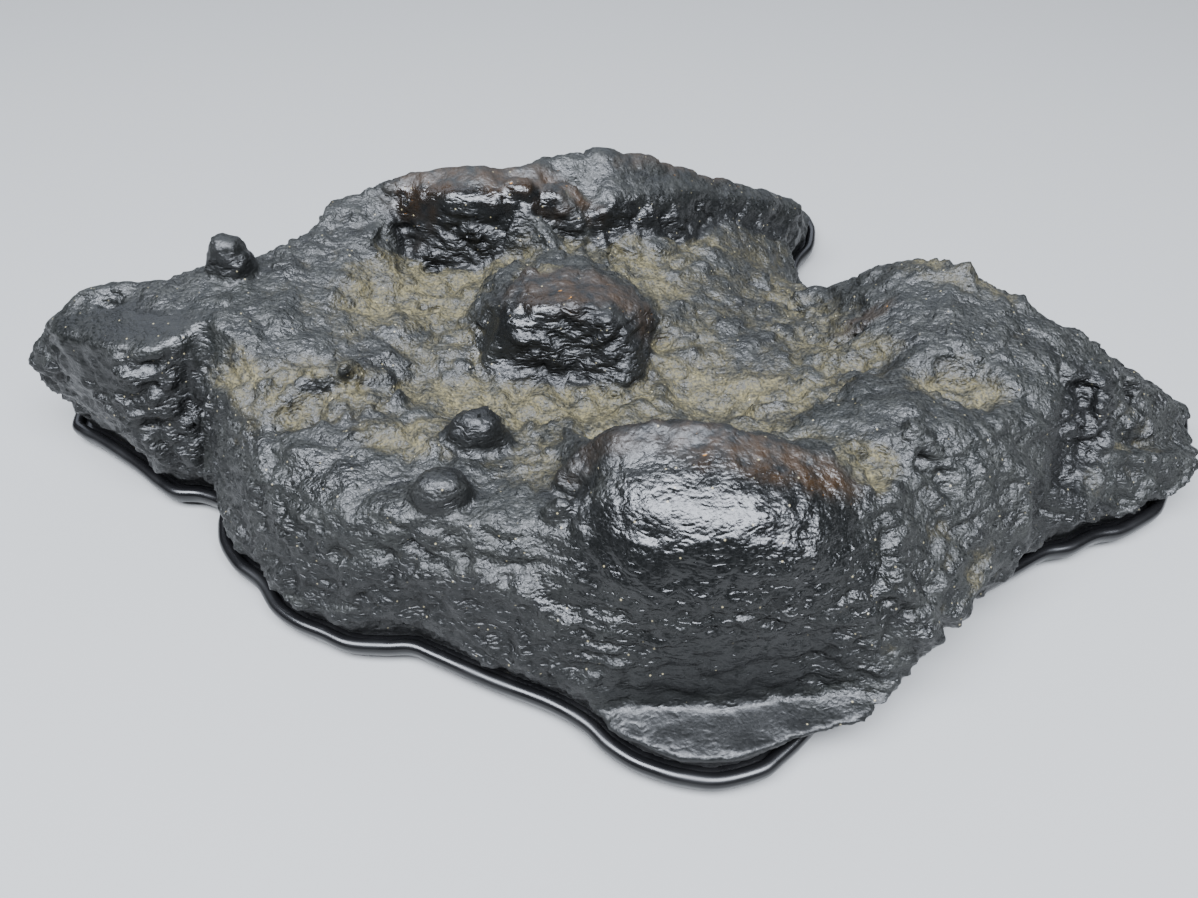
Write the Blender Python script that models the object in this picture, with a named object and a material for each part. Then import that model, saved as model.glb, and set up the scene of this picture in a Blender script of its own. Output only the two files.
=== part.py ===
"""A dark weathered viewing stone in its thin fitted wooden stand.

The stone is one closed rock. Its top is drawn as a surveyor draws ground: crest, edge and foot lines
carry spot heights, the ground between them is triangulated, and knobs and hollows are added to it.
Its side runs from the outer edge of that top down to a flat seat inside the stand's rim. The stand is
carved in one piece: a plate with a rounded rim, on low feet.

Lengths here are millimetres, turned to metres where a mesh is made. X runs along the stone, Y runs to
its back, Z is up, and the floor under the feet is z = 0.
"""

import bmesh
import bpy
import numpy as np
from mathutils import Vector
from mathutils.geometry import delaunay_2d_cdt

MM = 0.001

# Driving dimensions of the stand
FOOT_HEIGHT = 3.4
PLATE_UNDERSIDE = 3.0
RECESS_FLOOR = 5.5
RIM_TOP = 8.4
RIM_WIDTH = 4.4
RIM_ARC_DEGREES = (0, 55, 105, 150)
RIM_ARC_DROP = 0.8
RIM_STEPS = 132
PLATE_EDGE_ROUNDING = 1.4
PLATE_EDGE_INSET = 0.2
FOOT_LENGTH = 26.0
FOOT_WIDTH = 12.0
FOOT_TAPER = 0.84
FOOT_SIDES = 12
LACQUER_COLOUR = (0.01, 0.01, 0.011)
LACQUER_ROUGHNESS = 0.2

# Driving dimensions of the stone
SEAT_GAP = 0.3
SEAT_HEIGHT = RECESS_FLOOR + SEAT_GAP
SEAT_INSET = 5.6
EDGE_INSET = 3.8
EDGE_HEIGHT = 12.0
RIM_CLEARANCE_HEIGHT = 9.0
GROUND_STEP = 1.0
GROUND_BLUR = 1.0
GROUND_MARGIN = 10.0
SPOTS_MERGE_WITHIN = 0.4
EDGE_POINTS_PER_SPOT = 6
POINTS_AROUND = 300
RINGS_OVER_TOP = 100
WALL_ROWS = 5
SEAT_ROWS = 10
STONE_TRIANGLES = 7700
STONE_COLOUR = (0.035, 0.036, 0.034)
STONE_ROUGHNESS = 0.5

# How the stone's outer edge wanders: wavelength, reach, seed
EDGE_WANDERS = ((14.0, 1.3, 3), (6.0, 0.5, 4))

# Points that each span of a smooth outline is first cut into
CURVE_FINENESS = 24

# Feet under the plate, close to its outline: name, X, Y, turn in degrees
FEET = (
    ("foot_left", -186, -4, 90),
    ("foot_front_left", -116, -72, -50),
    ("foot_front", 16, -130, 0),
    ("foot_front_right", 128, -58, 22),
    ("foot_right", 190, -6, 90),
    ("foot_back_right", 72, 122, 80),
    ("foot_back", -40, 104, 18),
    ("foot_back_left", -146, 48, 38),
)

# The stand's outline, from the left end along the front: X, Y
RIM_OUTLINE = (
    (-207, -9), (-202, -14), (-195, -18), (-186, -24), (-176, -31), (-166, -39), (-158, -44),
    (-149, -45), (-141, -49), (-139, -57), (-136, -65), (-129, -74), (-120, -81), (-113, -90),
    (-105, -96), (-96, -100), (-87, -104), (-76, -105), (-68, -105), (-61, -108), (-44, -116),
    (-27, -123), (-17, -129), (-11, -135), (-4, -140), (3, -143), (10, -145), (20, -146),
    (32, -143), (38, -139), (46, -132), (57, -120), (67, -109), (78, -99), (93, -90),
    (109, -83), (122, -76), (133, -70), (142, -68), (152, -63), (161, -61), (169, -57),
    (177, -52), (182, -46), (190, -34), (198, -21), (203, -15), (206, -9), (207, -4), (202, 8), (192, 24),
    (176, 41), (156, 54), (133, 62), (110, 64), (92, 64), (83, 66), (77, 73),
    (76, 82), (77, 90), (80, 97), (86, 106), (89, 116), (90, 126), (87, 137),
    (76, 144), (58, 146), (30, 143), (0, 134), (-40, 121), (-80, 106), (-115, 88),
    (-150, 64), (-178, 42), (-198, 19), (-207, 3),
)
CENTRE = (0.0, -10.0)

# Stretches where the stone's edge stands out beyond the rim, or higher than elsewhere:
# name, start X, Y, end X, Y, how much further out, how much higher
EDGE_STRETCHES = (
    ("right flank", 30, -144, 133, -70, 11, 3),
    ("right flank brow", 38, -139, 100, -87, 4, 0),
    ("right flank lip", 57, -120, 118, -78, 0, 13),
    ("right end tip", 172, -56, 200, -19, 6, 8),
    ("left wing", -205, 20, -141, -49, 4, 30),
)

# Crest, edge and foot lines of the stone's top: X, Y, height
GROUND_LINES = {
    "facet_front": (
        (-190, -14, 60), (-186, -22, 60), (-174, -27, 61), (-163, -32, 62), (-152, -35, 63),
        (-146, -35, 64),
    ),
    "facet_right": (
        (-146, -35, 64), (-141, -30, 65), (-135, -24, 66), (-131, -18, 67),
    ),
    "facet_back": (
        (-131, -18, 67), (-143, -22, 65), (-151, -19, 65), (-165, -16, 64), (-177, -12, 63),
        (-187, -10, 62), (-190, -14, 60),
    ),
    "left_crest": (
        (-181, -7, 65), (-174, -5, 67), (-167, -5, 68), (-164, -4, 66), (-155, -4, 67),
        (-149, 1, 67), (-143, 5, 67),
    ),
    "saddle": (
        (-143, 5, 67), (-129, 9, 66), (-122, 9, 64), (-117, 10, 65),
    ),
    "backleft_rise": (
        (-117, 10, 65), (-112, 22, 68), (-106, 38, 72), (-97, 41, 74), (-88, 43, 76),
    ),
    "backleft_crest": (
        (-88, 43, 76), (-84, 43, 78), (-75, 43, 81), (-64, 44, 82), (-54, 43, 83), (-47, 45, 80),
        (-40, 44, 77), (-31, 43, 73), (-24, 40, 69), (-18, 37, 66),
    ),
    "backleft_edge": (
        (-83, 36, 70), (-78, 34, 73), (-71, 32, 76), (-63, 30, 78), (-54, 29, 78), (-46, 30, 77),
        (-38, 31, 75), (-29, 34, 71), (-22, 35, 68), (-18, 37, 66),
    ),
    "backleft_foot": (
        (-84, 33, 62), (-80, 32, 57), (-65, 27, 57), (-56, 26, 57), (-48, 27, 62), (-43, 30, 65),
        (-33, 32, 67),
    ),
    "backright_crest": (
        (-18, 37, 66), (-26, 40, 72), (-34, 43, 78), (-40, 46, 81), (-33, 51, 81), (-26, 55, 81),
        (-15, 59, 81), (-10, 59, 81), (7, 66, 74), (28, 79, 60), (46, 91, 49), (61, 100, 40),
        (76, 105, 31),
    ),
    "backright_edge": (
        (-18, 37, 66), (-12, 36, 68), (-7, 38, 70), (-1, 42, 69), (8, 47, 67), (16, 52, 64),
        (22, 58, 62), (33, 69, 54), (45, 77, 49), (59, 87, 42), (69, 93, 35), (78, 99, 28),
    ),
    "backright_foot": (
        (-12, 35, 65), (-3, 39, 61), (7, 43, 56), (17, 47, 50), (23, 53, 48), (30, 62, 48),
        (38, 69, 46), (48, 75, 40), (58, 80, 32), (68, 87, 25),
    ),
    "basin_back": (
        (-26, 28, 58), (-12, 31, 54), (3, 29, 52), (25, 35, 48), (44, 47, 40), (56, 52, 30),
    ),
    "basin_mid": (
        (9, 9, 50), (24, 13, 47), (39, 17, 42), (60, 29, 34),
    ),
    "basin_floor": (
        (5, -12, 47), (22, -13, 46), (42, -13, 46), (17, -33, 44), (32, -42, 46), (45, -40, 48),
        (1, -40, 48), (-12, -53, 50),
    ),
    "backleft_bevel": (
        (-82, 37, 72), (-73, 35, 76), (-63, 32, 79), (-55, 31, 79), (-46, 31, 78), (-38, 33, 76),
        (-29, 35, 72),
    ),
    "valley_top": (
        (-82, 28, 53), (-69, 23, 52), (-56, 24, 53), (-47, 23, 57),
    ),
    "boss_top_back": (
        (-42, -8, 68), (-37, -14, 70), (-29, -15, 71), (-26, -8, 71), (-21, 1, 70), (-15, -1, 70),
        (-10, -4, 69), (-4, -6, 67), (2, -10, 64),
    ),
    "boss_brow": (
        (-42, -8, 68), (-44, -14, 67), (-37, -19, 70), (-29, -23, 72), (-19, -23, 73),
        (-12, -25, 72), (-10, -28, 70), (-4, -27, 67), (1, -19, 64), (2, -10, 64),
    ),
    "boss_facet": (
        (-44, -14, 67), (-44, -18, 66), (-42, -24, 66), (-38, -28, 66), (-33, -27, 67),
        (-30, -27, 67), (-29, -23, 72),
    ),
    "boss_face_foot": (
        (-42, -25, 58), (-39, -29, 55), (-34, -30, 50), (-25, -30, 48), (-15, -29, 49),
        (-7, -31, 53), (-3, -29, 59), (3, -18, 56),
    ),
    "boss_skirt": (
        (-54, -14, 56), (-53, -21, 53), (-49, -27, 50), (-40, -34, 48), (-27, -37, 47),
        (-12, -39, 46), (-5, -39, 46), (1, -29, 47), (6, -14, 49), (8, -3, 53),
    ),
    "boss_left": (
        (-44, -14, 67), (-50, -13, 62), (-54, -14, 56),
    ),
    "boss_neck": (
        (-21, 1, 70), (-25, 17, 65), (-26, 27, 63), (-24, 33, 64),
    ),
    "right_band": (
        (134, -41, 47), (131, -48, 45), (127, -55, 41), (124, -62, 37),
    ),
    "upper_lobe_face": (
        (139, -46, 41), (144, -47, 40), (151, -44, 39),
    ),
    "upper_lobe_foot": (
        (143, -48, 33), (152, -46, 33),
    ),
    "plateau_a": (
        (-126, -28, 66), (-120, -12, 66), (-110, -4, 64), (-99, 7, 64), (-91, 22, 66),
        (-86, 31, 66),
    ),
    "plateau_b": (
        (-106, -23, 62), (-96, -15, 60), (-86, 1, 56), (-74, 9, 54), (-69, 21, 52),
    ),
    "plateau_c": (
        (-78, -13, 54), (-70, -21, 52), (-62, -8, 50), (-59, 1, 52),
    ),
    "plateau_d": (
        (-139, -33, 62), (-118, -37, 62), (-103, -37, 60), (-90, -37, 58), (-79, -30, 56),
    ),
    "plateau_e": (
        (-124, -47, 54), (-113, -55, 54), (-100, -57, 56), (-85, -58, 57), (-72, -47, 54),
        (-59, -38, 50), (-43, -45, 48), (-30, -53, 48), (-21, -55, 50),
    ),
    "plateau_f": (
        (-126, -54, 42), (-110, -70, 48), (-96, -77, 52), (-81, -79, 54), (-68, -75, 54),
        (-54, -72, 54), (-34, -75, 54), (-24, -81, 56),
    ),
    "plateau_edge": (
        (-115, -71, 40), (-105, -78, 44), (-95, -84, 48), (-80, -90, 52), (-65, -93, 54),
        (-51, -95, 55), (-38, -96, 56), (-25, -95, 57),
    ),
    "left_ridge": (
        (-139, -33, 62), (-138, -33, 50), (-140, -34, 38), (-142, -39, 24),
    ),
    "slope_mid": (
        (-119, -77, 22), (-99, -89, 30), (-81, -97, 36), (-66, -100, 40), (-52, -103, 40),
        (-38, -108, 42), (-22, -112, 44),
    ),
    "slope_low": (
        (-100, -94, 18), (-84, -100, 20), (-69, -105, 22), (-54, -109, 22), (-40, -113, 20),
        (-25, -119, 20),
    ),
    "lobe_back": (
        (-21, -82, 62), (-16, -79, 67), (-12, -79, 72), (-4, -79, 76), (4, -79, 78), (14, -80, 78),
        (22, -81, 77), (32, -82, 74), (41, -83, 71), (52, -84, 67),
    ),
    "lobe_brow": (
        (-18, -94, 68), (-9, -94, 71), (-2, -97, 72), (13, -102, 73), (33, -98, 72), (47, -96, 68),
        (52, -97, 64),
    ),
    "lobe_belly": (
        (-16, -102, 62), (-8, -111, 60), (0, -116, 61), (12, -118, 62), (29, -118, 62),
        (45, -115, 60), (53, -106, 58),
    ),
    "lobe_left": (
        (-21, -82, 62), (-18, -94, 68), (-16, -102, 62),
    ),
    "lobe_left_foot": (
        (-23, -85, 56), (-19, -90, 54), (-17, -99, 50), (-12, -109, 46),
    ),
    "face_foot": (
        (-16, -126, 13), (-6, -126, 14), (16, -125, 14), (41, -122, 14), (52, -122, 16),
        (60, -123, 18),
    ),
    "face_mid": (
        (-12, -119, 36), (14, -121, 36), (38, -119, 36), (54, -117, 38),
    ),
    "flank": (
        (52, -97, 64), (58, -105, 52), (58, -114, 46), (61, -118, 34), (62, -121, 22),
    ),
    "flank_b": (
        (67, -92, 60), (68, -99, 52), (68, -109, 44), (78, -107, 36),
    ),
    "hill_ridge": (
        (56, -55, 58), (64, -56, 62), (74, -59, 64), (81, -63, 64), (90, -65, 62), (104, -61, 58),
        (122, -55, 52),
    ),
    "hill_front": (
        (64, -79, 62), (80, -77, 58), (95, -75, 54), (112, -72, 48),
    ),
    "hill_front_b": (
        (76, -88, 52), (92, -83, 48), (109, -78, 42),
    ),
    "front_brow": (
        (79, -103, 42), (92, -92, 38), (103, -86, 36), (113, -83, 34), (123, -78, 28),
    ),
    "hill_crest": (
        (74, 40, 30), (76, 32, 40), (80, 26, 46), (83, 21, 52), (86, 17, 58), (91, 14, 62),
        (101, 12, 64), (109, 8, 65), (112, 5, 64), (116, -2, 62), (122, -5, 61), (129, -6, 60),
        (136, -11, 57), (146, -13, 54), (151, -15, 51), (158, -19, 46),
    ),
    "hill_a": (
        (71, -13, 50), (84, -20, 58), (98, -25, 62), (114, -28, 60), (130, -30, 56),
        (148, -33, 48),
    ),
    "hill_b": (
        (63, -31, 50), (73, -32, 54), (85, -42, 58), (98, -42, 56), (109, -44, 58), (129, -44, 54),
        (146, -40, 46),
    ),
    "hill_step": (
        (64, 2, 42), (61, -18, 46), (55, -42, 50), (46, -61, 56),
    ),
    "right_drop": (
        (124, -53, 50), (134, -41, 47),
    ),
    "right_cave": (
        (144, -34, 37), (142, -42, 33), (137, -49, 30), (132, -57, 29),
    ),
    "upper_lobe": (
        (158, -19, 46), (167, -19, 39), (173, -18, 35), (181, -17, 31), (187, -19, 28),
        (190, -20, 24),
    ),
    "upper_lobe_b": (
        (161, -30, 34), (175, -27, 27), (185, -26, 22),
    ),
    "upper_lobe_toe": (
        (162, -35, 22), (174, -34, 20), (185, -31, 18),
    ),
    "lower_lobe": (
        (134, -55, 30), (151, -49, 32), (165, -47, 30), (179, -42, 26),
    ),
    "lower_lobe_b": (
        (138, -64, 26), (153, -61, 24), (172, -51, 20),
    ),
    "lobe_back_foot": (
        (-24, -56, 52), (-10, -60, 51), (6, -60, 50), (22, -58, 50), (38, -60, 52), (50, -66, 58),
    ),
    "back_mid": (
        (-190, 4, 50), (-177, 22, 38), (-157, 36, 38), (-132, 50, 33), (-104, 64, 44),
    ),
    "back_low": (
        (-72, 78, 42), (-32, 96, 38), (8, 106, 36), (38, 114, 30), (63, 122, 22),
    ),
    "back_dome": (
        (-72, 60, 66), (-42, 68, 63), (-12, 78, 62), (13, 88, 52), (38, 98, 40),
    ),
    "hill_back": (
        (168, 8, 22), (148, 18, 30), (126, 32, 37), (103, 40, 37), (88, 48, 25),
    ),
}

# Knobs (rise above 0) and hollows (below 0) on that ground:
# name, X, Y, half length, half width, turn in degrees, rise, steepness of the sides
KNOBS_AND_HOLLOWS = (
    ("back_knob", -133, 3, 8, 7, 0, 13, 4),
    ("dark_knob", -47, -62, 10, 8, 10, 12, 3),
    ("flat_knob", -55, -86, 9, 7, 0, 9, 4),
    ("small_knob", -23, -94, 4, 3, 0, 5, 3),
    ("saddle_block", -24, 38, 9, 7, 20, 5, 4),
    ("saddle_lump", -39, 36, 7, 5, -20, 4, 3),
    ("hill_knob", 77, -70, 5, 5, 0, 5, 3),
    ("flank_knob", 67, -109, 6, 5, 20, 5, 3),
    ("flank_lump", 76, -112, 6, 5, 30, 4, 3),
    ("ledge_block", -84, -38, 9, 4, 15, 4, 4),
    ("ledge_block_b", -96, -42, 8, 4, 0, 4, 4),
    ("wing_lump", -195, -22, 5, 5, 0, 4, 3),
    ("slope_lump", -47, -106, 10, 5, -15, 4, 3),
    ("wing_pit", -169, -11, 5, 3, 0, -5, 2),
    ("valley_pit", -72, 24, 5, 3, 0, -4, 2),
    ("valley_pit_b", -68, 2, 5, 2, 10, -3, 2),
    ("basin_pit", 49, 34, 5, 3, 0, -6, 2),
    ("notch_slot", 62, 22, 7, 3, 10, -5, 2),
    ("boss_bowl", -34, 2, 7, 5, 10, -5, 2),
    ("hill_hollow", 98, -43, 17, 11, -20, -6, 2),
    ("hill_hollow_b", 74, -28, 14, 8, -10, -5, 2),
    ("hill_hollow_c", 62, -81, 11, 8, 20, -4, 2),
    ("hill_slot", 82, -78, 8, 4, -10, -5, 2),
    ("hill_slit", 72, -11, 8, 2, 10, -4, 2),
    ("end_hole", 165, -23, 4, 4, 0, -7, 2),
    ("basin_dish", 20, -37, 20, 12, 0, -3, 2),
    ("plateau_dish", -101, -53, 14, 8, 30, -4, 2),
    ("valley_dish", -74, -36, 14, 9, 20, -4, 2),
)

# Rough relief: size of the lumps and of the broken chips, and how far each stands proud
LUMP_SCALE = 17.0
LUMP_RISE = 1.5
LUMP_SEED = 11
CHIP_SCALE = 9.0
CHIP_RISE = 0.8
CHIP_SEED = 21
CHIP_WARP = 2.0
CALM_ABOVE_RIM = 4.0

# Share of the relief left in the middle of a worn place, and the share of its radius worn so far
WORN_RELIEF = 0.3
WORN_CORE = 0.6

# Places worn smooth, where the relief fades: name, X, Y, radius
WORN_PLACES = (
    ("wing facet", -155, -24, 26),
    ("front lobe", 17, -98, 42),
    ("front ledge", 20, -134, 38),
)


def closed_curve(points, count):
    """A smooth closed curve through the points (Catmull-Rom), as `count` evenly spaced points."""
    corners = np.array(points, float)
    before, after = np.roll(corners, 1, axis=0), np.roll(corners, -1, axis=0)
    beyond = np.roll(corners, -2, axis=0)
    t = np.linspace(0.0, 1.0, CURVE_FINENESS, endpoint=False)[:, None, None]
    fine = 0.5 * (
        2 * corners
        + (after - before) * t
        + (2 * before - 5 * corners + 4 * after - beyond) * t**2
        + (3 * corners - before - 3 * after + beyond) * t**3
    )
    fine = fine.transpose(1, 0, 2).reshape(-1, corners.shape[1])
    loop = np.vstack([fine, fine[:1]])
    along = np.concatenate([[0.0], np.cumsum(np.linalg.norm(np.diff(loop, axis=0), axis=1))])
    wanted = np.linspace(0.0, along[-1], count, endpoint=False)
    return np.stack([np.interp(wanted, along, column) for column in loop.T], axis=1)


def outward(curve):
    """Unit normals of a closed curve that runs anticlockwise, pointing away from its inside."""
    along = np.roll(curve, -1, axis=0) - np.roll(curve, 1, axis=0)
    normals = np.stack([along[:, 1], -along[:, 0]], axis=1)
    return normals / np.linalg.norm(normals, axis=1, keepdims=True)


def offset(curve, distance):
    """The curve moved outwards by a distance, which may differ from point to point."""
    return curve + outward(curve) * np.reshape(distance, (-1, 1))


def smooth_step(low, high, value):
    """0 below `low`, 1 above `high`, and an S between them."""
    t = np.clip((value - low) / (high - low), 0.0, 1.0)
    return t * t * (3 - 2 * t)


def lattice_hash(cells, seed):
    """A repeatable number from 0 to 1 for each whole-number cell."""
    mixed = cells[..., 0] * 374761393 + cells[..., 1] * 668265263 + cells[..., 2] * 2147483647
    mixed = (mixed + seed * 1274126177) & 0xFFFFFFFF
    mixed = ((mixed ^ (mixed >> 13)) * 1274126177) & 0xFFFFFFFF
    mixed = mixed ^ (mixed >> 16)
    return (mixed & 0xFFFFFF) / float(0xFFFFFF)


def lattice_noise(points, scale, seed):
    """Smooth noise from -1 to 1: random values at the corners of cubes of side `scale`, blended."""
    spot = points / scale
    cell = np.floor(spot).astype(np.int64)
    part = spot - cell
    part = part * part * (3 - 2 * part)
    total = np.zeros(len(points))
    for corner in np.ndindex(2, 2, 2):
        weight = np.prod(np.where(corner, part, 1 - part), axis=1)
        total += weight * lattice_hash(cell + np.array(corner), seed)
    return 2 * total - 1


def cell_steps(points, scale, seed):
    """Broken facets: each point takes the random height of the nearest of the scattered seeds."""
    spot = points / scale
    cell = np.floor(spot).astype(np.int64)
    nearest = np.full(len(points), np.inf)
    height = np.zeros(len(points))
    for step in np.ndindex(3, 3, 3):
        other = cell + np.array(step) - 1
        jitter = np.stack([lattice_hash(other, seed + k) for k in range(3)], axis=1)
        distance = np.linalg.norm(other + jitter - spot, axis=1)
        closer = distance < nearest
        nearest = np.where(closer, distance, nearest)
        height = np.where(closer, lattice_hash(other, seed + 7), height)
    return 2 * height - 1


def stone_edges(count):
    """The closed outlines of the stone's seat and of the outer edge of its top, as X, Y, Z."""
    rim = closed_curve(RIM_OUTLINE, count)
    reach = np.full(count, -EDGE_INSET)
    height = np.full(count, EDGE_HEIGHT)
    place = np.arange(count)
    for _, x0, y0, x1, y1, further, higher in EDGE_STRETCHES:
        start, end = (
            int(np.argmin(np.linalg.norm(rim - spot, axis=1))) for spot in ((x0, y0), (x1, y1))
        )
        length = (end - start) % count
        share = ((place - start) % count) / length
        swell = np.where(share <= 1, smooth_step(0, 0.3, share) * smooth_step(1, 0.7, share), 0)
        reach += further * swell
        height += higher * swell
    for wavelength, wander, seed in EDGE_WANDERS:
        reach += wander * lattice_noise(np.column_stack([rim, height]), wavelength, seed)
    seat = np.column_stack([offset(rim, -SEAT_INSET), np.full(count, SEAT_HEIGHT)])
    return seat, np.column_stack([offset(rim, reach), height])


def ground_map(edge):
    """Heights of the stone's top on a square grid: the grid's first corner, and rows along X."""
    spots = []
    joins = []
    for line in GROUND_LINES.values():
        first = len(spots)
        spots += line
        joins += [(first + i, first + i + 1) for i in range(len(line) - 1)]
    first = len(spots)
    ring = edge[::EDGE_POINTS_PER_SPOT]
    spots += [tuple(spot) for spot in ring]
    joins += [(first + i, first + (i + 1) % len(ring)) for i in range(len(ring))]
    low = edge.min(axis=0) - GROUND_MARGIN
    high = edge.max(axis=0) + GROUND_MARGIN
    spots += [(x, y, EDGE_HEIGHT) for x in (low[0], high[0]) for y in (low[1], high[1])]
    heights = np.array(spots, float)[:, 2]
    corners, edges, faces, sources, _, _ = delaunay_2d_cdt(
        [Vector(spot[:2]) for spot in spots], joins, [], 0, SPOTS_MERGE_WITHIN
    )
    known = [heights[list(source)].mean() if source else np.nan for source in sources]
    for a, b in edges:
        for crossing, end in ((a, b), (b, a)):
            if np.isnan(known[crossing]) and not np.isnan(known[end]):
                known[crossing] = known[end]
    xs = np.arange(low[0], high[0], GROUND_STEP)
    ys = np.arange(low[1], high[1], GROUND_STEP)
    ground = np.full((len(ys), len(xs)), EDGE_HEIGHT)
    for face in faces:
        fill_triangle(ground, xs, ys, [(*corners[i], known[i]) for i in face])
    return low, blurred(ground, GROUND_BLUR / GROUND_STEP)


def fill_triangle(ground, xs, ys, corners):
    """Writes the sloping triangle through three corners into the grid of heights."""
    a, b, c = np.array(corners)
    area = (b[0] - a[0]) * (c[1] - a[1]) - (c[0] - a[0]) * (b[1] - a[1])
    if abs(area) < 1e-6:
        return
    columns = slice(*np.searchsorted(xs, (min(a[0], b[0], c[0]), max(a[0], b[0], c[0]) + 1e-6)))
    rows = slice(*np.searchsorted(ys, (min(a[1], b[1], c[1]), max(a[1], b[1], c[1]) + 1e-6)))
    x, y = np.meshgrid(xs[columns], ys[rows])
    u = ((x - a[0]) * (c[1] - a[1]) - (c[0] - a[0]) * (y - a[1])) / area
    v = ((b[0] - a[0]) * (y - a[1]) - (x - a[0]) * (b[1] - a[1])) / area
    inside = (u >= -1e-6) & (v >= -1e-6) & (u + v <= 1 + 1e-6)
    ground[rows, columns][inside] = (a[2] + u * (b[2] - a[2]) + v * (c[2] - a[2]))[inside]


def blurred(grid, radius):
    """The grid after a Gaussian blur of this radius in cells, first along the rows, then across."""
    reach = int(np.ceil(3 * radius))
    weights = np.exp(-0.5 * (np.arange(-reach, reach + 1) / radius) ** 2)
    weights /= weights.sum()
    for axis in (0, 1):
        padding = [(reach, reach) if side == axis else (0, 0) for side in (0, 1)]
        wide = np.pad(grid, padding, mode="edge")
        grid = sum(
            weight * np.take(wide, range(k, k + grid.shape[axis]), axis=axis)
            for k, weight in enumerate(weights)
        )
    return grid


def ground_height(x, y, low, ground):
    """The height of the stone's top over any points: the map between its grid points, plus the
    knobs and hollows."""
    column = np.clip((x - low[0]) / GROUND_STEP, 0, ground.shape[1] - 1.001)
    row = np.clip((y - low[1]) / GROUND_STEP, 0, ground.shape[0] - 1.001)
    i, j = column.astype(int), row.astype(int)
    s, t = column - i, row - j
    height = (1 - t) * ((1 - s) * ground[j, i] + s * ground[j, i + 1]) + t * (
        (1 - s) * ground[j + 1, i] + s * ground[j + 1, i + 1]
    )
    for _, cx, cy, half_length, half_width, turn, rise, steepness in KNOBS_AND_HOLLOWS:
        angle = np.radians(turn)
        along = ((x - cx) * np.cos(angle) + (y - cy) * np.sin(angle)) / half_length
        across = ((y - cy) * np.cos(angle) - (x - cx) * np.sin(angle)) / half_width
        away = np.sqrt(along**2 + across**2)
        height = height + rise * np.clip(1 - away**steepness, 0, None)
    return height


def stone_grid():
    """The whole stone as a grid of rows, each a closed loop of points: out from the middle of the
    seat to its edge, up the side wall, and in over the top to the summit of the grid."""
    seat, edge = stone_edges(POINTS_AROUND)
    low, ground = ground_map(edge)
    centre = np.array(CENTRE)
    rows = []
    for share in np.linspace(0, 1, SEAT_ROWS + 1)[1:]:
        flat = centre + (seat[:, :2] - centre) * share
        rows.append(np.column_stack([flat, seat[:, 2]]))
    top = np.column_stack([edge[:, :2], ground_height(edge[:, 0], edge[:, 1], low, ground)])
    upright = np.column_stack([seat[:, :2], np.full(len(seat), RIM_CLEARANCE_HEIGHT)])
    rows.append(upright)
    for share in np.linspace(0, 1, WALL_ROWS + 1)[1:]:
        swell = np.sin(share * np.pi / 2)
        flat = upright[:, :2] + (top[:, :2] - upright[:, :2]) * swell
        rise = upright[:, 2] + (top[:, 2] - upright[:, 2]) * share
        rows.append(np.column_stack([flat, rise]))
    for share in np.linspace(1, 0, RINGS_OVER_TOP, endpoint=False)[1:]:
        flat = centre + (edge[:, :2] - centre) * share
        rows.append(np.column_stack([flat, ground_height(flat[:, 0], flat[:, 1], low, ground)]))
    bottom = np.array([*CENTRE, SEAT_HEIGHT])
    summit = np.array([*CENTRE, *ground_height(centre[:1], centre[1:], low, ground)])
    return np.array(rows), bottom, summit


def grid_faces(row_count, around):
    """Faces between neighbouring rows of a grid whose rows are closed loops."""
    here = np.arange(around)
    ahead = np.roll(here, -1)
    faces = []
    for row in range(row_count - 1):
        low, high = row * around, (row + 1) * around
        faces += np.column_stack([low + here, low + ahead, high + ahead, high + here]).tolist()
    return faces


def pole_faces(row_count, around):
    """Triangles that close the first and the last row of a grid, each to its own pole point."""
    here = list(range(around))
    ahead = here[1:] + here[:1]
    last = (row_count - 1) * around
    first_pole, last_pole = row_count * around, row_count * around + 1
    faces = [[first_pole, b, a] for a, b in zip(here, ahead)]
    return faces + [[last_pole, last + a, last + b] for a, b in zip(here, ahead)]


def vertex_normals(points, faces):
    """Unit normals of the points of a mesh, averaged from its faces by area."""
    triangles = np.array([(f[0], f[k], f[k + 1]) for f in faces for k in range(1, len(f) - 1)])
    a, b, c = (points[triangles[:, k]] for k in range(3))
    areas = np.cross(b - a, c - a)
    normals = np.zeros_like(points)
    for k in range(3):
        np.add.at(normals, triangles[:, k], areas)
    return normals / np.maximum(np.linalg.norm(normals, axis=1, keepdims=True), 1e-9)


def with_relief(points, faces):
    """The points moved along their normals by lumps and broken facets, which fade out where the
    stone is worn smooth and close to the stand."""
    lumps = lattice_noise(points, LUMP_SCALE, LUMP_SEED)
    chips = cell_steps(points + CHIP_WARP * lumps[:, None], CHIP_SCALE, CHIP_SEED)
    calm_below = RIM_CLEARANCE_HEIGHT + CALM_ABOVE_RIM
    roughness = smooth_step(RIM_CLEARANCE_HEIGHT, calm_below, points[:, 2])
    for _, x, y, radius in WORN_PLACES:
        away = np.hypot(points[:, 0] - x, points[:, 1] - y)
        kept = smooth_step(WORN_CORE * radius, radius, away)
        roughness *= WORN_RELIEF + (1 - WORN_RELIEF) * kept
    move = roughness * (LUMP_RISE * lumps + CHIP_RISE * chips)
    return points + vertex_normals(points, faces) * move[:, None]


def finish_material(name, colour, roughness):
    """A plain finish of one colour."""
    material = bpy.data.materials.new(name)
    material.use_nodes = True
    shader = material.node_tree.nodes["Principled BSDF"]
    shader.inputs["Base Color"].default_value = (*colour, 1.0)
    shader.inputs["Roughness"].default_value = roughness
    shader.inputs["Metallic"].default_value = 0.0
    return material


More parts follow.
